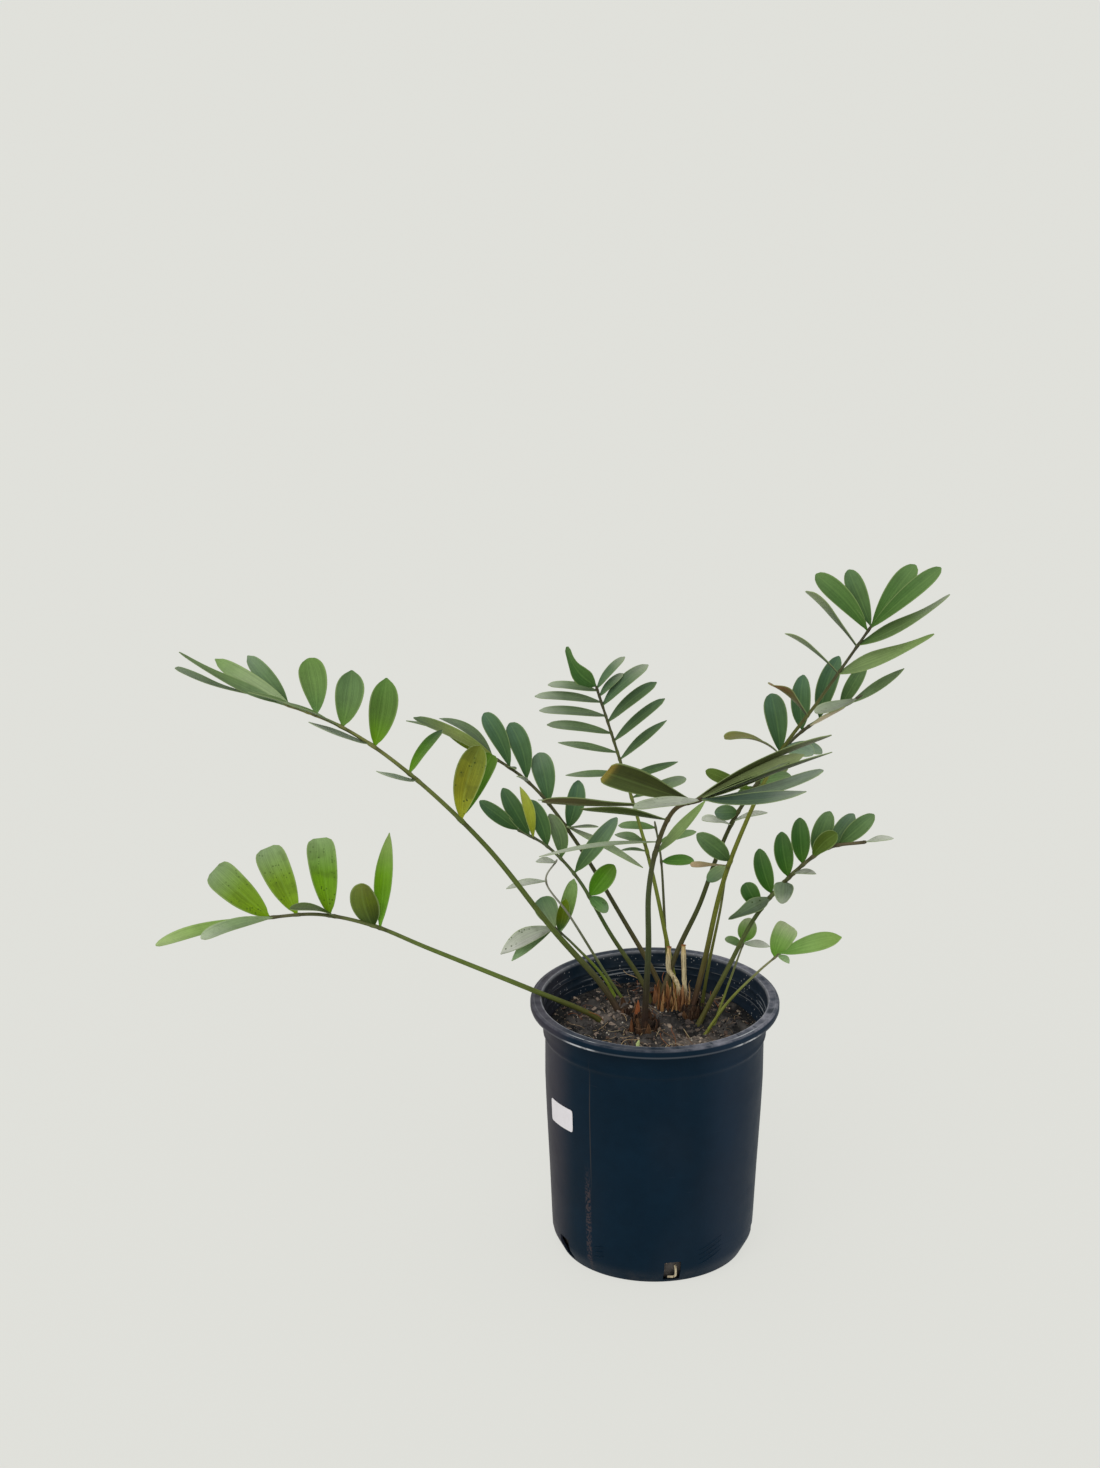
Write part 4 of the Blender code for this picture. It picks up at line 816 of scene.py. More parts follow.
# ---------------------------------------------------------------- shader nodes
def source(tree, kind, **settings):
    """Add a node that nothing feeds, with its settings."""
    made = tree.nodes.new(kind)
    for key, value in settings.items():
        setattr(made, key, value)
    return made.outputs


def put(kind, inputs, **settings):
    """Add a node beside those that feed it. Its inputs are values or other nodes' outputs."""
    feeds = {key: value for key, value in inputs.items() if isinstance(value, bpy.types.NodeSocket)}
    tree = next(iter(feeds.values())).id_data
    made = source(tree, kind, **settings)[0].node
    for key, value in inputs.items():
        socket = made.inputs[key]
        if key in feeds:
            tree.links.new(value, socket)
        else:
            socket.default_value = (*value[:3], 1.0) if socket.type == "RGBA" else value
    return made.outputs


def maths(operation, *values):
    return put("ShaderNodeMath", dict(enumerate(values)), operation=operation)[0]


def times(first, *others):
    """The product of values."""
    for other in others:
        first = maths("MULTIPLY", first, other)
    return first


def plus(first, *others):
    """The sum of values."""
    for other in others:
        first = maths("ADD", first, other)
    return first


def window(value, low, high, start=0.0, end=1.0):
    """A smooth step of a value from one bound to the other."""
    return put("ShaderNodeMapRange", {0: value, 1: low, 2: high, 3: start, 4: end},
               interpolation_type="SMOOTHSTEP")[0]


def band(value, middle, half):
    """1 at the middle of a band, falling smoothly to 0 at its edges."""
    away = maths("ABSOLUTE", maths("SUBTRACT", value, middle))
    return window(away, half, half * 0.3)


def mixed(factor, first, second, kind="MIX"):
    return put("ShaderNodeMix", {0: factor, 6: first, 7: second}, data_type="RGBA",
               blend_type=kind)[2]


def coated(colour, *coats):
    """A colour with others laid over it in turn, each given with the masks that hold it back."""
    for coat, *masks in coats:
        colour = mixed(times(*masks), colour, coat)
    return colour


def dimmed(colour, level):
    """A colour times a level."""
    shade = put("ShaderNodeCombineColor", {0: level, 1: level, 2: level})[0]
    return mixed(1.0, colour, shade, "MULTIPLY")


def grain(vector, scale, detail=3.0, rough=0.55):
    return put("ShaderNodeTexNoise", {"Vector": vector, "Scale": scale, "Detail": detail,
                                      "Roughness": rough})[0]


def drawn_out(vector, stretch, detail, rough=0.55):
    """Noise with its own scale along each axis."""
    mapped = put("ShaderNodeMapping", {"Vector": vector, "Scale": stretch})[0]
    return grain(mapped, 1.0, detail, rough)


def tint_beside(socket):
    """The outputs of a node that reads the tint, in the same tree as a socket."""
    return source(socket.id_data, "ShaderNodeAttribute", attribute_name="tint")


def chart_beside(socket):
    """The UV map, in the same tree as a socket."""
    return source(socket.id_data, "ShaderNodeUVMap", uv_map="UVMap")[0]


def lay_out(tree):
    """Set the nodes out in columns, each to the right of what feeds it."""
    depth = {}

    def column(item):
        if item.name not in depth:
            depth[item.name] = 0
            feeders = [link.from_node for socket in item.inputs for link in socket.links]
            depth[item.name] = 1 + max((column(feeder) for feeder in feeders), default=-1)
        return depth[item.name]

    rows = {}
    for item in tree.nodes:
        place = column(item)
        item.location = (240.0 * place, -190.0 * rows.get(place, 0))
        rows[place] = rows.get(place, 0) + 1


READY = {}


def ready(name, build):
    """A node group or material, made the first time that it is asked for."""
    if name not in READY:
        READY[name] = build()
    return READY[name]


def new_group(name, vector, outputs, **values):
    """An empty shader node group with a vector input, inputs with their values, and outputs. The ones
    called Colour hold a colour and the others a number."""
    tree = bpy.data.node_groups.new(name, "ShaderNodeTree")
    kinds = {vector: "NodeSocketVector", "Colour": "NodeSocketColor"}
    for label in (vector, *values):
        socket = tree.interface.new_socket(name=label, in_out="INPUT",
                                           socket_type=kinds.get(label, "NodeSocketFloat"))
        if label in values:
            socket.default_value = values[label]
    for label in outputs:
        tree.interface.new_socket(name=label, in_out="OUTPUT",
                                  socket_type=kinds.get(label, "NodeSocketFloat"))
    return tree, tree.nodes.new("NodeGroupInput").outputs, tree.nodes.new("NodeGroupOutput").inputs


def speckle_group():
    """Small scattered specks: a mask that is 1 on a speck."""
    tree, given, out = new_group("Speckle", "Vector", ["Mask"], Scale=300.0, Size=0.2, Amount=0.3)
    cells = put("ShaderNodeTexVoronoi", {"Vector": given["Vector"], "Scale": given["Scale"]})
    spot = window(cells["Distance"], given["Size"], times(given["Size"], 0.6))
    parts = put("ShaderNodeSeparateColor", {0: cells["Color"]})
    chosen = maths("LESS_THAN", parts[0], given["Amount"])
    tree.links.new(times(spot, chosen), out["Mask"])
    lay_out(tree)
    return tree


def mottle_group():
    """Uneven colour: two sizes of noise that darken and lighten a colour, with a height to match."""
    tree, given, out = new_group("Mottle", "Vector", ["Colour", "Height"],
                                 Colour=(0.5, 0.5, 0.5, 1.0), Scale=60.0, Amount=0.2)
    broad = grain(given["Vector"], given["Scale"], 2.0)
    fine = grain(given["Vector"], times(given["Scale"], 6.0))
    both = plus(times(broad, 0.65), times(fine, 0.35))
    swing = times(maths("SUBTRACT", both, 0.5), times(given["Amount"], 4.0))
    tree.links.new(dimmed(given["Colour"], plus(swing, 1.0)), out["Colour"])
    tree.links.new(both, out["Height"])
    lay_out(tree)
    return tree


def streak_group():
    """Fine lines that run along a surface's second map direction: leaf veins and stalk fibres."""
    tree, given, out = new_group("Streaks", "Map", ["Value"], Across=60.0, Along=1.5)
    across, along, rest = put("ShaderNodeSeparateXYZ", {0: given["Map"]})
    drawn = put("ShaderNodeCombineXYZ", {0: times(across, given["Across"]),
                                         1: times(along, given["Along"]), 2: rest})[0]
    tree.links.new(grain(drawn, 1.0, 2.0, 0.6), out["Value"])
    lay_out(tree)
    return tree


def mottled(colour, place, scale, amount):
    """A colour made uneven, and the height to match."""
    return put("ShaderNodeGroup", {"Colour": colour, "Vector": place, "Scale": scale, "Amount": amount},
               node_tree=ready("Mottle", mottle_group))


def speckled(place, scale, size, amount):
    return put("ShaderNodeGroup", {"Vector": place, "Scale": scale, "Size": size, "Amount": amount},
               node_tree=ready("Speckle", speckle_group))[0]


def streaked(chart, across, along):
    return put("ShaderNodeGroup", {"Map": chart, "Across": across, "Along": along},
               node_tree=ready("Streaks", streak_group))[0]


def new_material(name, colour, roughness, specular):
    """A material whose shader has its even values set, and a place to add what varies."""
    material = bpy.data.materials.new(name)
    material.use_nodes = True
    material.diffuse_color = (*colour[:3], 1.0)
    tree = material.node_tree
    shader = tree.nodes["Principled BSDF"]
    shader.inputs["Base Color"].default_value = material.diffuse_color
    shader.inputs["Roughness"].default_value = roughness
    shader.inputs["Specular IOR Level"].default_value = specular
    return material, shader, source(tree, "ShaderNodeTexCoord")["Object"]


def finish_material(material, shader, colour, roughness=None, height=None, depth=0.0005, strength=0.5):
    """Link what varies to a material's shader, and set its nodes out."""
    tree = material.node_tree
    tree.links.new(colour, shader.inputs["Base Color"])
    if roughness is not None:
        tree.links.new(roughness, shader.inputs["Roughness"])
    if height is not None:
        bump = put("ShaderNodeBump", {"Height": height, "Strength": strength, "Distance": depth})
        tree.links.new(bump[0], shader.inputs["Normal"])
    lay_out(tree)
    return material


def plastic_finish(plan):
    """Moulded black plastic: a painted sheen in soft clouds, soft rubs, a painted highlight on its
    right side, a painted warm reflection at its left edge, a rough mould seam, a worn rim with painted
    highlights, and perlite inside.
    """
    material, shader, place = new_material("can_plastic", plan.plastic_colour, 0.46, 0.05)
    x, y, z = put("ShaderNodeSeparateXYZ", {0: place})
    radius = maths("SQRT", plus(times(x, x), times(y, y)))
    turn = maths("ARCTAN2", x, times(y, -1.0))
    worn = grain(place, 55.0, 4.0, 0.7)
    cloud = drawn_out(place, (9.0, 9.0, 5.0), 2.0)
    rubs = drawn_out(place, (40.0, 40.0, 900.0), 3.0, 0.7)
    # Mottled plastic with a painted sheen in soft clouds, rubs, a painted highlight over its right side
    # and a painted warm reflection at its left edge.
    colour = coated(
        mottled(plan.plastic_colour, place, 14.0, 0.22)["Colour"],
        (plan.sheen_colour, window(cloud, 0.45, 0.75), 0.16),
        (paint(92, 96, 110), window(rubs, 0.66, 0.80), 0.12),
        (paint(72, 84, 108), window(x, 0.035, 0.078, 0.0, 0.13)),
        (paint(122, 98, 98), window(x, -0.080, -0.105, 0.0, 0.16)))

    # The mould seam, rough low down and faint above.
    seam = times(band(turn, SEAM_LOW, 0.045), band(z, 0.060, 0.075),
                 window(grain(place, 420.0, 2.0), 0.44, 0.58))
    line = times(band(turn, SEAM_HIGH, 0.008), band(z, 0.170, 0.085))
    colour = coated(colour, (paint(74, 64, 66), seam, 0.75), (paint(84, 74, 66), line, 0.35))

    # The rim: greyed on top by wear, and lighter towards the right as a painted highlight, but for its
    # nicks.
    top = window(z, POT_HEIGHT - 0.0022, POT_HEIGHT - 0.0006)
    near_top = window(z, POT_HEIGHT - 0.004, POT_HEIGHT - 0.001)
    colour = coated(colour, (paint(136, 136, 148), top, window(worn, 0.20, 0.75),
                             window(x, -0.02, 0.09, 0.30, 1.0)))
    for middle, half in NICKS:
        colour = coated(colour, (paint(40, 48, 58), band(turn, math.radians(middle), half),
                                 band(radius, RIM_RADIUS - 0.0065, 0.0042), top, 0.85))
    # Painted highlights on the rim: brightest at two turns and broken up by noise.
    glare = plus(*(band(turn, middle, 0.20) for middle in RIM_HIGHLIGHT_TURNS))
    broken = window(grain(place, 120.0, 2.0), 0.36, 0.52, 0.25, 1.0)
    shine = plus(times(glare, broken, 0.85), 0.10)
    # Pale lines at both top edges and under the lip: painted highlights, the inner one broken up as
    # wear.
    colour = coated(
        colour,
        (paint(176, 176, 184), band(radius, RIM_RADIUS - 0.0110, 0.0016), near_top,
         window(worn, 0.30, 0.62, 0.15, 0.8)),
        (paint(186, 190, 198), band(radius, RIM_RADIUS - 0.0036, 0.0010), near_top, shine),
        (paint(196, 198, 204), band(z, LIP_BOTTOM + 0.0026, 0.0014),
         window(radius, RIM_RADIUS - 0.002, RIM_RADIUS - 0.0005), shine))

    # A lighter blue-grey in patches, perlite and scrapes on the inner wall, and dust round the foot.
    inside = times(tint_beside(place)["Fac"], window(z, 0.215, 0.225))
    scrape = drawn_out(place, (14.0, 14.0, 520.0), 2.0)
    colour = coated(
        colour,
        (paint(50, 58, 68), inside, window(worn, 0.25, 0.80, 0.15, 0.75)),
        (paint(178, 178, 182), speckled(place, 420.0, 0.36, 0.16),
         window(grain(place, 22.0, 1.0), 0.40, 0.56), inside, 0.8),
        (paint(184, 188, 194), window(scrape, 0.59, 0.68), inside, band(z, 0.252, 0.012), 0.62),
        (paint(96, 88, 84), window(z, 0.020, 0.002), window(worn, 0.40, 0.70), 0.18))
    rough = plus(times(worn, 0.22), 0.36)
    height = plus(times(grain(place, 700.0, 2.0), 0.25), times(seam, 1.4),
                  times(cloud, 0.4))
    return finish_material(material, shader, colour, rough, height, 0.0006, 0.35)


def paper_finish(plan):
    """Blank sticker paper, a little uneven."""
    material, shader, place = new_material("sticker_paper", plan.paper_colour, 0.62, 0.3)
    colour, height = mottled(plan.paper_colour, place, 90.0, 0.05)
    return finish_material(material, shader, colour, None, height, 0.0001, 0.3)


def peat_finish(plan):
    """Damp peat: nearly black with brown crumbs, dried patches and a little pale dust."""
    material, shader, place = new_material("peat", plan.peat_colour, 0.92, 0.15)
    colour, height = mottled(plan.peat_colour, place, 130.0, 0.85)
    colour = coated(colour, (paint(94, 89, 87), window(grain(place, 38.0), 0.42, 0.66), 0.75))
    lumps = window(grain(place, 90.0), 0.38, 0.56)
    for x, y, spread in DRY_PATCHES:
        away = put("ShaderNodeVectorMath", {0: place, 1: (x, y, MIX_EDGE_HEIGHT)}, operation="DISTANCE")
        dry = window(away["Value"], spread * 1.3, spread * 0.4)
        colour = coated(colour, (paint(132, 120, 112), dry, lumps, 0.5))
    colour = coated(colour, (paint(170, 150, 128), speckled(place, 520.0, 0.34, 0.16), 0.6))
    return finish_material(material, shader, colour, None, height, 0.0016, 0.8)


def bits_finish():
    """Bits that lie on the mix or stand in it: their own tint, unevenly coloured."""
    material, shader, place = new_material("bark_bits", (0.2, 0.15, 0.1), 0.9, 0.15)
    colour, height = mottled(tint_beside(place)["Color"], place, 240.0, 0.4)
    return finish_material(material, shader, colour, None, height, 0.0006, 0.6)


def husk_finish():
    """Dry bracts and cut stubs: fibres that run along them, paler on the ridges."""
    material, shader, place = new_material("dry_husk", (0.3, 0.2, 0.1), 0.85, 0.12)
    tint = tint_beside(place)["Color"]
    fibres = drawn_out(place, (900.0, 900.0, 60.0), 3.0, 0.7)
    dark = mixed(1.0, tint, (0.30, 0.24, 0.20), "MULTIPLY")
    colour = coated(dark, (tint, window(fibres, 0.34, 0.56)),
                    (paint(228, 200, 156), window(fibres, 0.60, 0.75), 0.35))
    return finish_material(material, shader, colour, None, fibres, 0.0008, 0.8)


def leaflet_finish(plan):
    """A leathery leaflet: its own colours, parallel veins, mottling, specks, a pale margin, painted
    shade and highlight on its two flanks, and a painted highlight on its midrib.
    """
    material, shader, place = new_material("leaflet_skin", (0.06, 0.15, 0.04), 0.46, 0.11)
    tint = tint_beside(place)
    chart = chart_beside(place)
    across = put("ShaderNodeSeparateXYZ", {0: chart})[0]
    away = maths("ABSOLUTE", times(maths("SUBTRACT", across, 0.5), 2.0))
    colour, height = mottled(tint["Color"], place, 70.0, 0.16)
    veins = streaked(chart, 34.0, 1.1)
    vein = times(window(veins, 0.40, 0.62, -1.0, 1.0), plan.vein_depth * 0.27)
    # The veins darken and lighten the colour, and the flank at one edge is darkened as painted shade.
    colour = dimmed(colour, times(plus(vein, 1.0), window(across, 0.05, 0.45, 0.84, 0.96)))
    # The other flank is paler as a painted highlight, the midrib carries a painted highlight, the
    # margin is paler, and worn leaves have darker blotches and specks.
    flank, rib = window(across, 0.30, 0.86), band(across, 0.5, 0.055)
    colour = coated(
        colour,
        (paint(136, 168, 92), plus(times(flank, 0.11), times(rib, 0.10))),
        (paint(52, 62, 24), window(grain(place, 46.0, 2.0), 0.52, 0.62), tint["Alpha"], 0.30),
        (paint(44, 62, 20), speckled(place, 380.0, 0.42, 0.26),
         window(grain(place, 60.0, 1.0), 0.44, 0.56), tint["Alpha"], 0.90),
        (paint(154, 174, 114), window(away, 0.86, 0.97), 0.46))
    rough = plus(times(height, 0.25), 0.34)
    return finish_material(material, shader, colour, rough, plus(veins, times(height, 0.4)), 0.0004,
                           plan.vein_depth)


def stalk_finish():
    """A stalk's skin: its own colours with fine fibres along it."""
    material, shader, place = new_material("stalk_skin", (0.06, 0.08, 0.03), 0.55, 0.12)
    colour = mottled(tint_beside(place)["Color"], place, 110.0, 0.20)["Colour"]
    fibres = streaked(chart_beside(place), 9.0, 14.0)
    colour = dimmed(colour, window(fibres, 0.30, 0.70, 0.80, 1.22))
    return finish_material(material, shader, colour, None, fibres, 0.0004, 0.5)


# ---------------------------------------------------------------- shaping
def leaf(at, reach, width, face, look, shape="oval", bow=0.05, sweep=0.0, cup=0.10):
    """One leaflet: where it starts along the stalk, its base-to-tip vector and width in millimetres,
    the way its upper side faces, its look and outline, its bends up and sideways, and its trough."""
    return dict(at=at, reach=Vector(mm(reach)[0]), width=width / 1000, face=Vector(face),
                look=LOOKS[look], shape=shape, bow=bow, sweep=sweep, cup=cup)


def blade_master(name, outline, columns=8, rows=18):
    """A flat leaflet one long and one wide, shaped from a grid and given two skins."""
    master = add(bpy.ops.mesh.primitive_grid_add, name, x_subdivisions=columns, y_subdivisions=rows,
                 size=1.0)
    outline = [(place / 100, width / 100) for place, width in outline]
    for vert in master.data.vertices:
        even = vert.co.y + 0.5
        share = 0.5 * even + 0.25 * (1.0 - math.cos(math.pi * even))
        vert.co = (vert.co.x * smooth_value(outline, share), share, 0.0)
    apply_modifier(master, "SOLIDIFY", thickness=1.0, offset=0.0, use_even_offset=False)
    smooth_sides(master, 60.0)
    return master


def blade_colours(mesh, look, lighten):
    """Base, body and tip colours along the blade, duller under it, with the wear in the alpha."""
    base, body, tip = (paint(*colour) for colour in look[:3])
    wear, fade = (*look[3:], 0.55)[:2]
    colours = []
    for vert in mesh.vertices:
        share = vert.co.y
        if share < 0.5:
            colour = blend(base, body, (share - 0.08) / 0.40)
        else:
            colour = blend(body, tip, (share - fade) / (0.97 - fade))
        level = lighten * (1.0 if vert.co.z > 0 else 0.94)
        colours.append((*(channel * level for channel in colour[:3]), wear))
    set_colours(mesh, colours)


def bend_blade(mesh, base, reach, width, face, thickness, bow, sweep, cup, twist, ripple=0.0):
    """Lay a flat blade along its reach, bent up, bent sideways, troughed and twisted."""
    length = reach.length
    along = reach / length
    upper = (face - along * face.dot(along)).normalized()
    across = along.cross(upper)
    for vert in mesh.vertices:
        side, share, deep = vert.co
        arch = 4.0 * share * (1.0 - share)
        slope = 4.0 * (1.0 - 2.0 * share)
        middle = base + reach * share + (upper * bow + across * sweep) * (length * arch)
        tangent = (along + (upper * bow + across * sweep) * slope).normalized()
        normal = (upper - tangent * upper.dot(tangent)).normalized()
        flank = tangent.cross(normal)
        angle = twist * (share - 0.5)
        turned_flank = flank * math.cos(angle) + normal * math.sin(angle)
        turned_normal = normal * math.cos(angle) - flank * math.sin(angle)
        edge = min(abs(2.0 * side), 1.0)
        lift = cup * width * edge ** 2 + ripple * width * math.sin(9.0 * share + 4.0 * side) * edge
        vert.co = (middle + turned_flank * (side * width)
                   + turned_normal * (lift + deep * thickness * (1.0 - 0.45 * edge ** 2)))


def husk_blade(master, name, tint, *bend):
    """A dry blade in one colour, bent as bend_blade takes it."""
    mesh = master.data.copy()
    set_tint(mesh, tint)
    bend_blade(mesh, *bend)
    return hang(name, mesh)


def make_stalk(name, points, ends, colours, joints, plan):
    """A tapered stalk, swollen at its joints and its foot, and tinted along its length."""
    length = sum((b - a).length for a, b in zip(points, points[1:]))
    foot, tip = ends
    low, middle, high = (paint(*colour) for colour in colours)
    radii, tints = [], []
    for step in range(STALK_RINGS):
        share = step / (STALK_RINGS - 1)
        radius = foot + (tip - foot) * share
        joint = max(math.exp(-((share - at) * length / JOINT_SPREAD) ** 2) for at in joints)
        radius += plan.joint_swell * joint * (0.5 + radius / 0.004)
        radius += plan.foot_swell * (foot / 0.004) * math.exp(-(share * length / FOOT_SPREAD) ** 2)
        radii.append(radius)
        colour = blend(low, middle, (share * length - 0.040) / 0.09)
        colour = blend(colour, high, (share - 0.55) / 0.40)
        tints.append(blend(colour, paint(58, 54, 36), 0.6 * joint))
    radii[-1] *= 0.6
    stalk = tube(name, points, radii)
    ring = len(stalk.data.vertices) // STALK_RINGS
    set_colours(stalk.data, [tints[min(index // ring, STALK_RINGS - 1)]
                             for index in range(len(stalk.data.vertices))])
    return stalk


def make_frond(name, plan, skin, stalk_skin, masters):
    """One frond: its stalk and its leaflets."""
    route, ends, colours, *rows = FRONDS[name]
    points = route_points(mm(*route), STALK_RINGS)
    leaflets = [leaf(*row) for row in rows]
    joints = [item["at"] for item in leaflets]
    stalk = make_stalk(name + "_stalk", points, mm(ends)[0], colours, joints, plan)
    settle(stalk, "frond_green", stalk_skin, name)
    blades = []
    chance = random.Random(name)
    for item in leaflets:
        mesh = masters[item["shape"]].data.copy()
        blade_colours(mesh, item["look"], 1.0 + chance.uniform(-0.05, 0.05))
        bend_blade(mesh, at_share(points, item["at"]), item["reach"], item["width"], item["face"],
                   plan.leaf_thickness, item["bow"], item["sweep"], item["cup"],
                   chance.uniform(-0.12, 0.12), chance.uniform(-0.02, 0.02))
        blades.append(hang(name + "_leaflet", mesh))
    settle(join(name + "_leaflets", blades), "frond_green", skin, name, smooth=None)


# ---------------------------------------------------------------- operators
class PALM_OT_stage(bpy.types.Operator):
    """Lay the pale floor, hang the soft studio light and set up the camera"""
    bl_idname = "palm.stage"
    bl_label = "Stage"

    def execute(self, context):
        plan = context.scene.palm_stage
        discard(*(item for item in bpy.data.objects if item.name in ("Cube", "Light", "Camera")))
        camera = add(bpy.ops.object.camera_add, "studio_camera", location=CAMERA_PLACE,
                     rotation=(math.radians(90.0) - CAMERA_DIP, 0.0, 0.0))
        camera.data.lens = CAMERA_LENS
        camera.data.sensor_width = 36.0
        camera.data.clip_end = 200.0
        context.scene.camera = camera
        floor = add(bpy.ops.mesh.primitive_plane_add, "studio_floor", size=FLOOR_WIDTH)
        in_edit_mode(floor, bpy.ops.mesh.subdivide, number_cuts=4)
        material, shader, place = new_material("studio_floor", plan.floor_colour, 0.9, 0.0)
        finish_material(material, shader, mottled(plan.floor_colour, place, 1.2, 0.01)["Colour"])
        shader.inputs["Emission Color"].default_value = FLOOR_TINT
        shader.inputs["Emission Strength"].default_value = plan.floor_glow
        floor.data.materials.append(material)
        key = add(bpy.ops.object.light_add, "key_light", type="SUN", rotation=SUN_TURN)
        key.data.energy = plan.key_light
        key.data.angle = plan.key_angle
        key.data.color = SUN_TINT
        world = bpy.data.worlds.new("studio_light")
        world.use_nodes = True
        back = world.node_tree.nodes["Background"]
        back.inputs["Color"].default_value = SKY_TINT
        back.inputs["Strength"].default_value = plan.daylight
        context.scene.world = world
        context.scene.view_settings.view_transform = "Standard"
        return {"FINISHED"}


class PALM_OT_can(bpy.types.Operator):
    """Turn the nursery can, cut its drain holes and mould its small ridges"""
    bl_idname = "palm.can"
    bl_label = "Nursery can"

    def execute(self, context):
        plan = context.scene.palm_can
        profile = [*CAN_FOOT, *OUTER_WALL]
        profile += [(RIM_RADIUS - inward, LIP_BOTTOM + up) for inward, up in LIP_UNDER]
        profile += [(RIM_RADIUS - inward, POT_HEIGHT - down) for inward, down in LIP_OVER]
        profile += [LIP_INSIDE, *CAN_INSIDE]
        can = lathe("can_shell", profile, plan.sides)
        cutters = []
        for index in range(plan.hole_count):
            cutter = add(bpy.ops.mesh.primitive_cube_add, "drain_cutter", size=1.0,
                         location=HOLE_MIDDLE, scale=(plan.hole_width, HOLE_DEEP, HOLE_TALL))
            freeze(cutter)
            in_edit_mode(cutter, bpy.ops.mesh.bevel, offset=0.0012, segments=2, affect="EDGES")
            turn = FIRST_HOLE + math.tau * index / plan.hole_count
            cutter.matrix_world = Matrix.Rotation(turn, 4, "Z")
            freeze(cutter)
            cutters.append(cutter)
        cutter = join("drain_cutters", cutters)
        apply_modifier(can, "BOOLEAN", operation="DIFFERENCE", solver="EXACT", object=cutter)
        discard(cutter)

        # The tint is 1 on the inside of the wall and 0 elsewhere.
        lining = []
        for vert in can.data.vertices:
            away, height = math.hypot(vert.co.x, vert.co.y), vert.co.z
            shell = RIM_RADIUS - 0.0105
            if height <= LIP_BOTTOM:
                shell = wall_radius(max(height, OUTER_WALL[0][1])) - 0.0006
            lining.append((float(away < shell),) * 3 + (1.0,))
        set_colours(can.data, lining)
        finish = ready("can_plastic", lambda: plastic_finish(plan))
        settle(can, "pot_plastic", finish, "nursery_pot", smooth=38.0)

        ridges = []
        shares = [step / 14.0 for step in range(15)]
        swell = [RIDGE_RADIUS * math.sin(math.pi * (0.08 + 0.84 * share)) for share in shares]
        for middle, lowest, spread, count, rise in RIDGES:
            for row in range(count):
                foot = lowest + RIDGE_GAP * row
                points = [on_wall(math.radians(middle + spread * (share - 0.5)),
                                  foot + rise * share ** 1.4, 0.0001) for share in shares]
                ridges.append(tube("can_ridge", points, swell, 2))
        root = tube("root_tips", route_points(ROOT_TIP, 20), [ROOT_RADIUS] * 20, 3)
        set_tint(root.data, paint(204, 192, 164))
        settle(root, "dry_stalk", ready("husk", husk_finish))
        settle(join("can_ridges", ridges), "pot_plastic", finish)
        return {"FINISHED"}


class PALM_OT_label(bpy.types.Operator):
    """Cut the blank sticker, round its corners and bend it to the can"""
    bl_idname = "palm.label"
    bl_label = "Blank sticker"

    def execute(self, context):
        plan = context.scene.palm_label
        label = add(bpy.ops.mesh.primitive_grid_add, "blank_sticker", x_subdivisions=14,
                    y_subdivisions=8, size=1.0)
        half_wide, half_high = 0.5 * plan.width, 0.5 * plan.height
        straight_x, straight_y = half_wide - LABEL_CORNER, half_high - LABEL_CORNER
        for vert in label.data.vertices:
            across, up = vert.co.x * plan.width, vert.co.y * plan.height
            over_x, over_y = abs(across) - straight_x, abs(up) - straight_y
            if over_x > 0.0 and over_y > 0.0 and math.hypot(over_x, over_y) > LABEL_CORNER:
                pull = LABEL_CORNER / math.hypot(over_x, over_y)
                across = math.copysign(straight_x + over_x * pull, across)
                up = math.copysign(straight_y + over_y * pull, up)
            vert.co = (across, up, 0.0)
        apply_modifier(label, "SOLIDIFY", thickness=LABEL_THICKNESS, offset=0.0)
        for vert in label.data.vertices:
            across, up, deep = vert.co
            curl = 0.0024 * max(0.0, across / half_wide - 0.7) * max(0.0, -up / half_high - 0.5)
            vert.co = on_wall(LABEL_TURN + across / wall_radius(LABEL_MIDDLE),
                              LABEL_MIDDLE + up + LABEL_CLIMB * across, LABEL_LIFT + deep + curl)
        in_edit_mode(label, bpy.ops.mesh.normals_make_consistent, inside=False)
        settle(label, "label_paper", paper_finish(plan), "price_label", smooth=30.0)
        return {"FINISHED"}


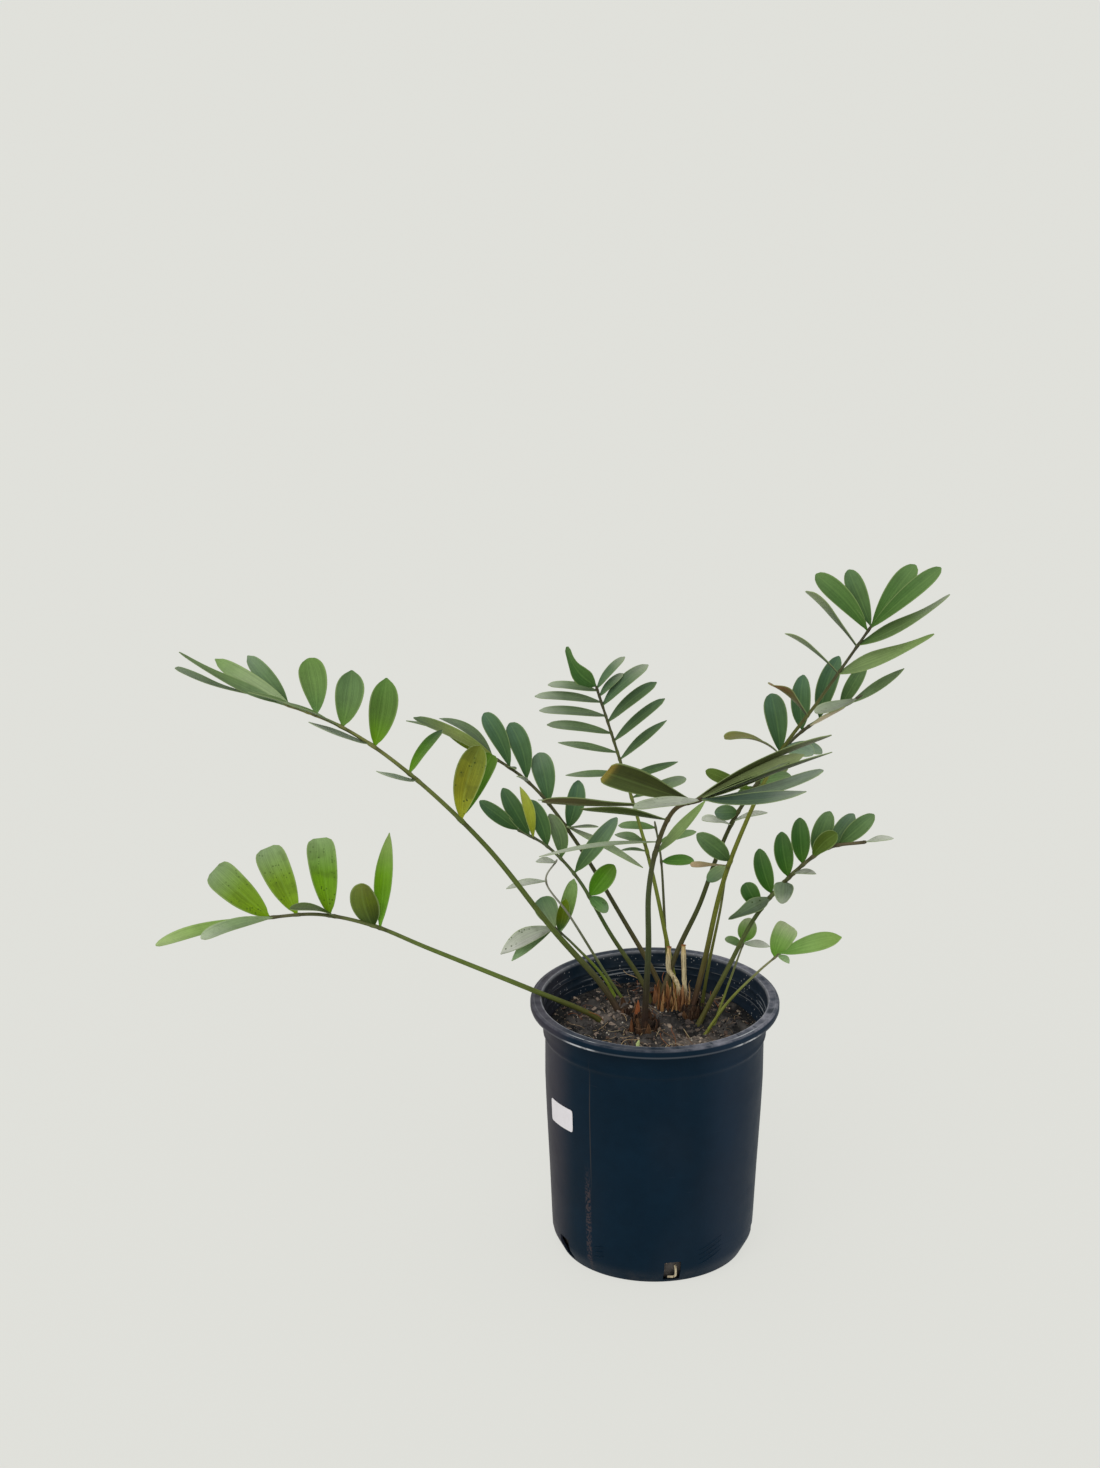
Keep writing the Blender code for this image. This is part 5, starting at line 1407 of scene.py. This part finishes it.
class PALM_OT_mix(bpy.types.Operator):
    """Fill the can with lumpy potting mix and scatter bark, crumbs, perlite and root fibres on it"""
    bl_idname = "palm.mix"
    bl_label = "Potting mix"

    def execute(self, context):
        plan = context.scene.palm_mix
        chance = random.Random(plan.seed)
        surface = [(INNER_RADIUS * (1.0 - 0.99 * ring / MIX_RINGS), MIX_EDGE_HEIGHT)
                   for ring in range(MIX_RINGS + 1)]
        mix = lathe("peat_surface", [*MIX_SIDE, *surface], MIX_SIDES)
        for vert in mix.data.vertices:
            x, y, z = vert.co
            if z > MIX_EDGE_HEIGHT - 0.0001:
                rim = min(1.0, (INNER_RADIUS - math.hypot(x, y)) / 0.004)
                vert.co.z = mix_height(x, y) + clumps(x, y) * (0.3 + 0.7 * rim)
        in_edit_mode(mix, bpy.ops.mesh.normals_make_consistent, inside=False)
        settle(mix, "potting_mix", peat_finish(plan), "potting_mix", smooth=80.0)
        bits = ready("bits", bits_finish)

        chip = add(bpy.ops.mesh.primitive_cube_add, "chip", size=1.0)
        in_edit_mode(chip, bpy.ops.mesh.bevel, offset=0.14, segments=1, affect="EDGES")
        for vert in chip.data.vertices:
            vert.co += 0.10 * Vector(noise.noise_vector(vert.co * 2.3))
        places, tints = [], []
        for place in scattered(chance, plan.bark_count, CHIP_SIZES, CHIP_REACH, 0.0,
                               lambda: (1.0, chance.uniform(0.4, 0.8), chance.uniform(0.2, 0.45))):
            places.append(place)
            tints.append(dried(paint(*chance.choice(BROWNS)), place))
        settle(copies_of(chip, "bark_chips", places, tints), "potting_mix", bits, smooth=30.0)

        crumb = add(bpy.ops.mesh.primitive_ico_sphere_add, "crumb", subdivisions=1, radius=0.5)
        for vert in crumb.data.vertices:
            vert.co *= 1.0 + 0.35 * noise.noise(vert.co * 3.0)
        places = list(scattered(chance, plan.crumb_count, CRUMB_SIZES, CRUMB_REACH, 0.0,
                                lambda: (1.0, chance.uniform(0.7, 1.0), chance.uniform(0.6, 0.9))))
        tints = [dried(paint(*chance.choice(DARKS)), place) for place in places]
        settle(copies_of(crumb, "peat_crumbs", places, tints), "potting_mix", bits, smooth=50.0)
        places = list(scattered(chance, plan.perlite_count, PERLITE_SIZES, PERLITE_REACH, 0.0006,
                                lambda: (1.0, 0.9, 0.8)))
        tints = [paint(*chance.choice(WHITES)) for _ in places]
        settle(copies_of(crumb, "perlite_grains", places, tints), "potting_mix", bits, smooth=50.0)

        curl = [Vector((share, 0.16 * math.sin(3.0 * share), 0.10 * math.sin(5.0 * share)))
                for share in (step / 9.0 for step in range(10))]
        strand = tube("strand", curl, [0.014] * 10, 0)
        places, tints = [], []
        for place in scattered(chance, plan.fibre_count, FIBRE_SIZES, FIBRE_REACH, 0.0010,
                               lambda: (1.0, 1.0, 1.0)):
            places.append(place @ Matrix.Rotation(chance.uniform(-0.3, 0.3), 4, "Y"))
            tints.append(paint(*chance.choice(STRAWS)))
        fibres = copies_of(strand, "root_fibres", places, tints)
        for vert in fibres.data.vertices:
            pull = min(1.0, FIBRE_LIMIT / math.hypot(vert.co.x, vert.co.y))
            vert.co.x *= pull
            vert.co.y *= pull
        settle(fibres, "potting_mix", bits)
        discard(chip, crumb, strand)

        shoot = tube("green_shoot", route_points(SHOOT, len(SHOOT_RADII)), SHOOT_RADII, 3)
        set_tint(shoot.data, paint(204, 220, 150))
        settle(shoot, "frond_green", bits)
        return {"FINISHED"}


class PALM_OT_crowns(bpy.types.Operator):
    """Shape the trunks, wrap them in old leaf bases, and stand bracts and cut stubs beside them"""
    bl_idname = "palm.crowns"
    bl_label = "Crowns, bracts and stubs"

    def execute(self, context):
        husk = ready("husk", husk_finish)
        chance = random.Random(CROWN_SEED)
        crowns = dict(zip(CROWNS, mm(*CROWNS.values())))
        for name, (x, y, radius) in crowns.items():
            crown = add(bpy.ops.mesh.primitive_uv_sphere_add, name + "_bark", segments=28,
                        ring_count=16, radius=1.0)
            for vert in crown.data.vertices:
                side, front, up = vert.co
                rough = 1.0 + 0.16 * noise.noise(Vector((side * 2.4 + x * 90.0, front * 2.4, up * 1.4)))
                rough += 0.07 * noise.noise(vert.co * 7.0)
                vert.co = (x + side * radius * rough, y + front * radius * rough,
                           CROWN_BASE - 0.002 + up * 0.011 * rough)
            set_tint(crown.data, paint(62, 50, 42))
            settle(crown, "crown_bark", husk, name)

        master = blade_master("scale", OUTLINES["bract"], 6, 8)
        scales = []
        for x, y, radius in crowns.values():
            for row, (lift, tall, count) in enumerate(SCALE_ROWS):
                for index in range(count):
                    angle = 6.283 * (index + 0.5 * row) / count + chance.uniform(-0.2, 0.2)
                    out = Vector((math.cos(angle), math.sin(angle), 0.0))
                    foot = Vector((x, y, CROWN_BASE + lift)) + out * radius * (0.92 - 0.22 * row)
                    scales.append(husk_blade(
                        master, "scale", paint(*chance.choice(SCALE_TINTS)), foot,
                        Vector((0.0, 0.0, tall * chance.uniform(0.7, 1.15))) + out * 0.002,
                        chance.uniform(0.006, 0.009), out, 0.0009, 0.10,
                        chance.uniform(-0.08, 0.08), -0.25, 0.0))
        settle(join("old_leaf_bases", scales), "crown_bark", husk, smooth=50.0)

        for name, (foot, top, width, colour) in BRACTS.items():
            mesh = master.data.copy()
            tint = paint(*colour)
            low = blend(tint, paint(70, 50, 40), 0.6)
            set_colours(mesh, [blend(low, tint, vert.co.y * 3.0) for vert in mesh.vertices])
            foot, top = (Vector(point) for point in mm(foot, top))
            bend_blade(mesh, foot, top - foot, width / 1000, Vector((0.0, -1.0, 0.0)), 0.0010,
                       0.03, 0.0, -0.30, 0.3)
            settle(hang(name + "_husk", mesh), "dry_bract", husk, name, smooth=50.0)

        slivers = []
        for _ in range(SLIVER_COUNT):
            angle, away = chance.uniform(0.0, 6.283), chance.uniform(0.2, 1.0)
            foot = Vector((0.016 + 0.021 * away * math.cos(angle),
                           0.031 + 0.011 * away * math.sin(angle), 0.240))
            slivers.append(husk_blade(
                master, "sliver", paint(*chance.choice(SLIVER_TINTS)), foot,
                Vector((chance.uniform(-0.006, 0.006), chance.uniform(-0.006, 0.004),
                        chance.uniform(0.016, 0.036))),
                chance.uniform(0.0018, 0.0040), Vector((chance.uniform(-0.6, 0.6), -1.0, 0.1)),
                0.0007, 0.05, chance.uniform(-0.10, 0.10), -0.2, 0.4))
        settle(join("husk_slivers", slivers), "dry_bract", husk, smooth=50.0)
        discard(master)

        last = STUB_RINGS - 1
        for name, route in STUBS.items():
            points = route_points(mm(*route), STUB_RINGS)
            radii = [0.0029 - 0.0005 * math.sin(math.pi * ring / last)
                     + 0.0004 * noise.noise((ring * 0.5, 2.0, 7.0)) for ring in range(STUB_RINGS)]
            stub = tube(name + "_straw", points, radii)
            count = len(stub.data.vertices) // STUB_RINGS
            tints = []
            for index, vert in enumerate(stub.data.vertices):
                ring = min(index // count, last)
                torn = max(0.0, (ring - last + 3) / 3.0)
                if torn:
                    vert.co.z += 0.0026 * noise.noise(vert.co * 700.0)
                    vert.co += (points[-1] - vert.co) * 0.25 * torn
                tint = blend(paint(150, 100, 60), paint(232, 216, 174), (ring - 8) / 6.0)
                tints.append(blend(tint, paint(222, 196, 140), torn))
            set_colours(stub.data, tints)
            settle(stub, "dry_stalk", husk, name)
        return {"FINISHED"}


class PALM_OT_fronds(bpy.types.Operator):
    """Grow every frond: its stalk and its leaflets"""
    bl_idname = "palm.fronds"
    bl_label = "Fronds"

    def execute(self, context):
        plan = context.scene.palm_fronds
        masters = {name: blade_master("blade_" + name, outline) for name, outline in OUTLINES.items()}
        skin = ready("leaflet_skin", lambda: leaflet_finish(plan))
        stalk_skin = ready("stalk_skin", stalk_finish)
        for name in FRONDS:
            make_frond(name, plan, skin, stalk_skin, masters)
        discard(*masters.values())
        return {"FINISHED"}


class PALM_PT_panel(bpy.types.Panel):
    """The palm's settings and its pieces, in the order that they are made"""
    bl_idname = "PALM_PT_panel"
    bl_label = "Potted palm"
    bl_space_type = "VIEW_3D"
    bl_region_type = "UI"
    bl_category = "Palm"

    def draw(self, context):
        layout = self.layout
        for plan, operator in PIECES:
            box = layout.box()
            if plan:
                settings = getattr(context.scene, plan)
                for key in settings.__annotations__:
                    box.prop(settings, key)
            box.operator(operator)


PLANS = {"palm_stage": StagePlan, "palm_can": CanPlan, "palm_label": LabelPlan, "palm_mix": MixPlan,
         "palm_fronds": FrondPlan}
PIECES = (("palm_stage", "palm.stage"), ("palm_can", "palm.can"), ("palm_label", "palm.label"),
          ("palm_mix", "palm.mix"), (None, "palm.crowns"), ("palm_fronds", "palm.fronds"))
CLASSES = (*PLANS.values(), PALM_OT_stage, PALM_OT_can, PALM_OT_label, PALM_OT_mix, PALM_OT_crowns,
           PALM_OT_fronds, PALM_PT_panel)


def register():
    for each in CLASSES:
        bpy.utils.register_class(each)
    for name, plan in PLANS.items():
        setattr(bpy.types.Scene, name, PointerProperty(type=plan))


def unregister():
    for name in PLANS:
        delattr(bpy.types.Scene, name)
    for each in reversed(CLASSES):
        bpy.utils.unregister_class(each)


def main():
    register()
    bpy.ops.palm.stage()
    bpy.ops.palm.can()
    bpy.ops.palm.label()
    bpy.ops.palm.mix()
    bpy.ops.palm.crowns()
    bpy.ops.palm.fronds()
    pick()


if __name__ == "__main__":
    main()
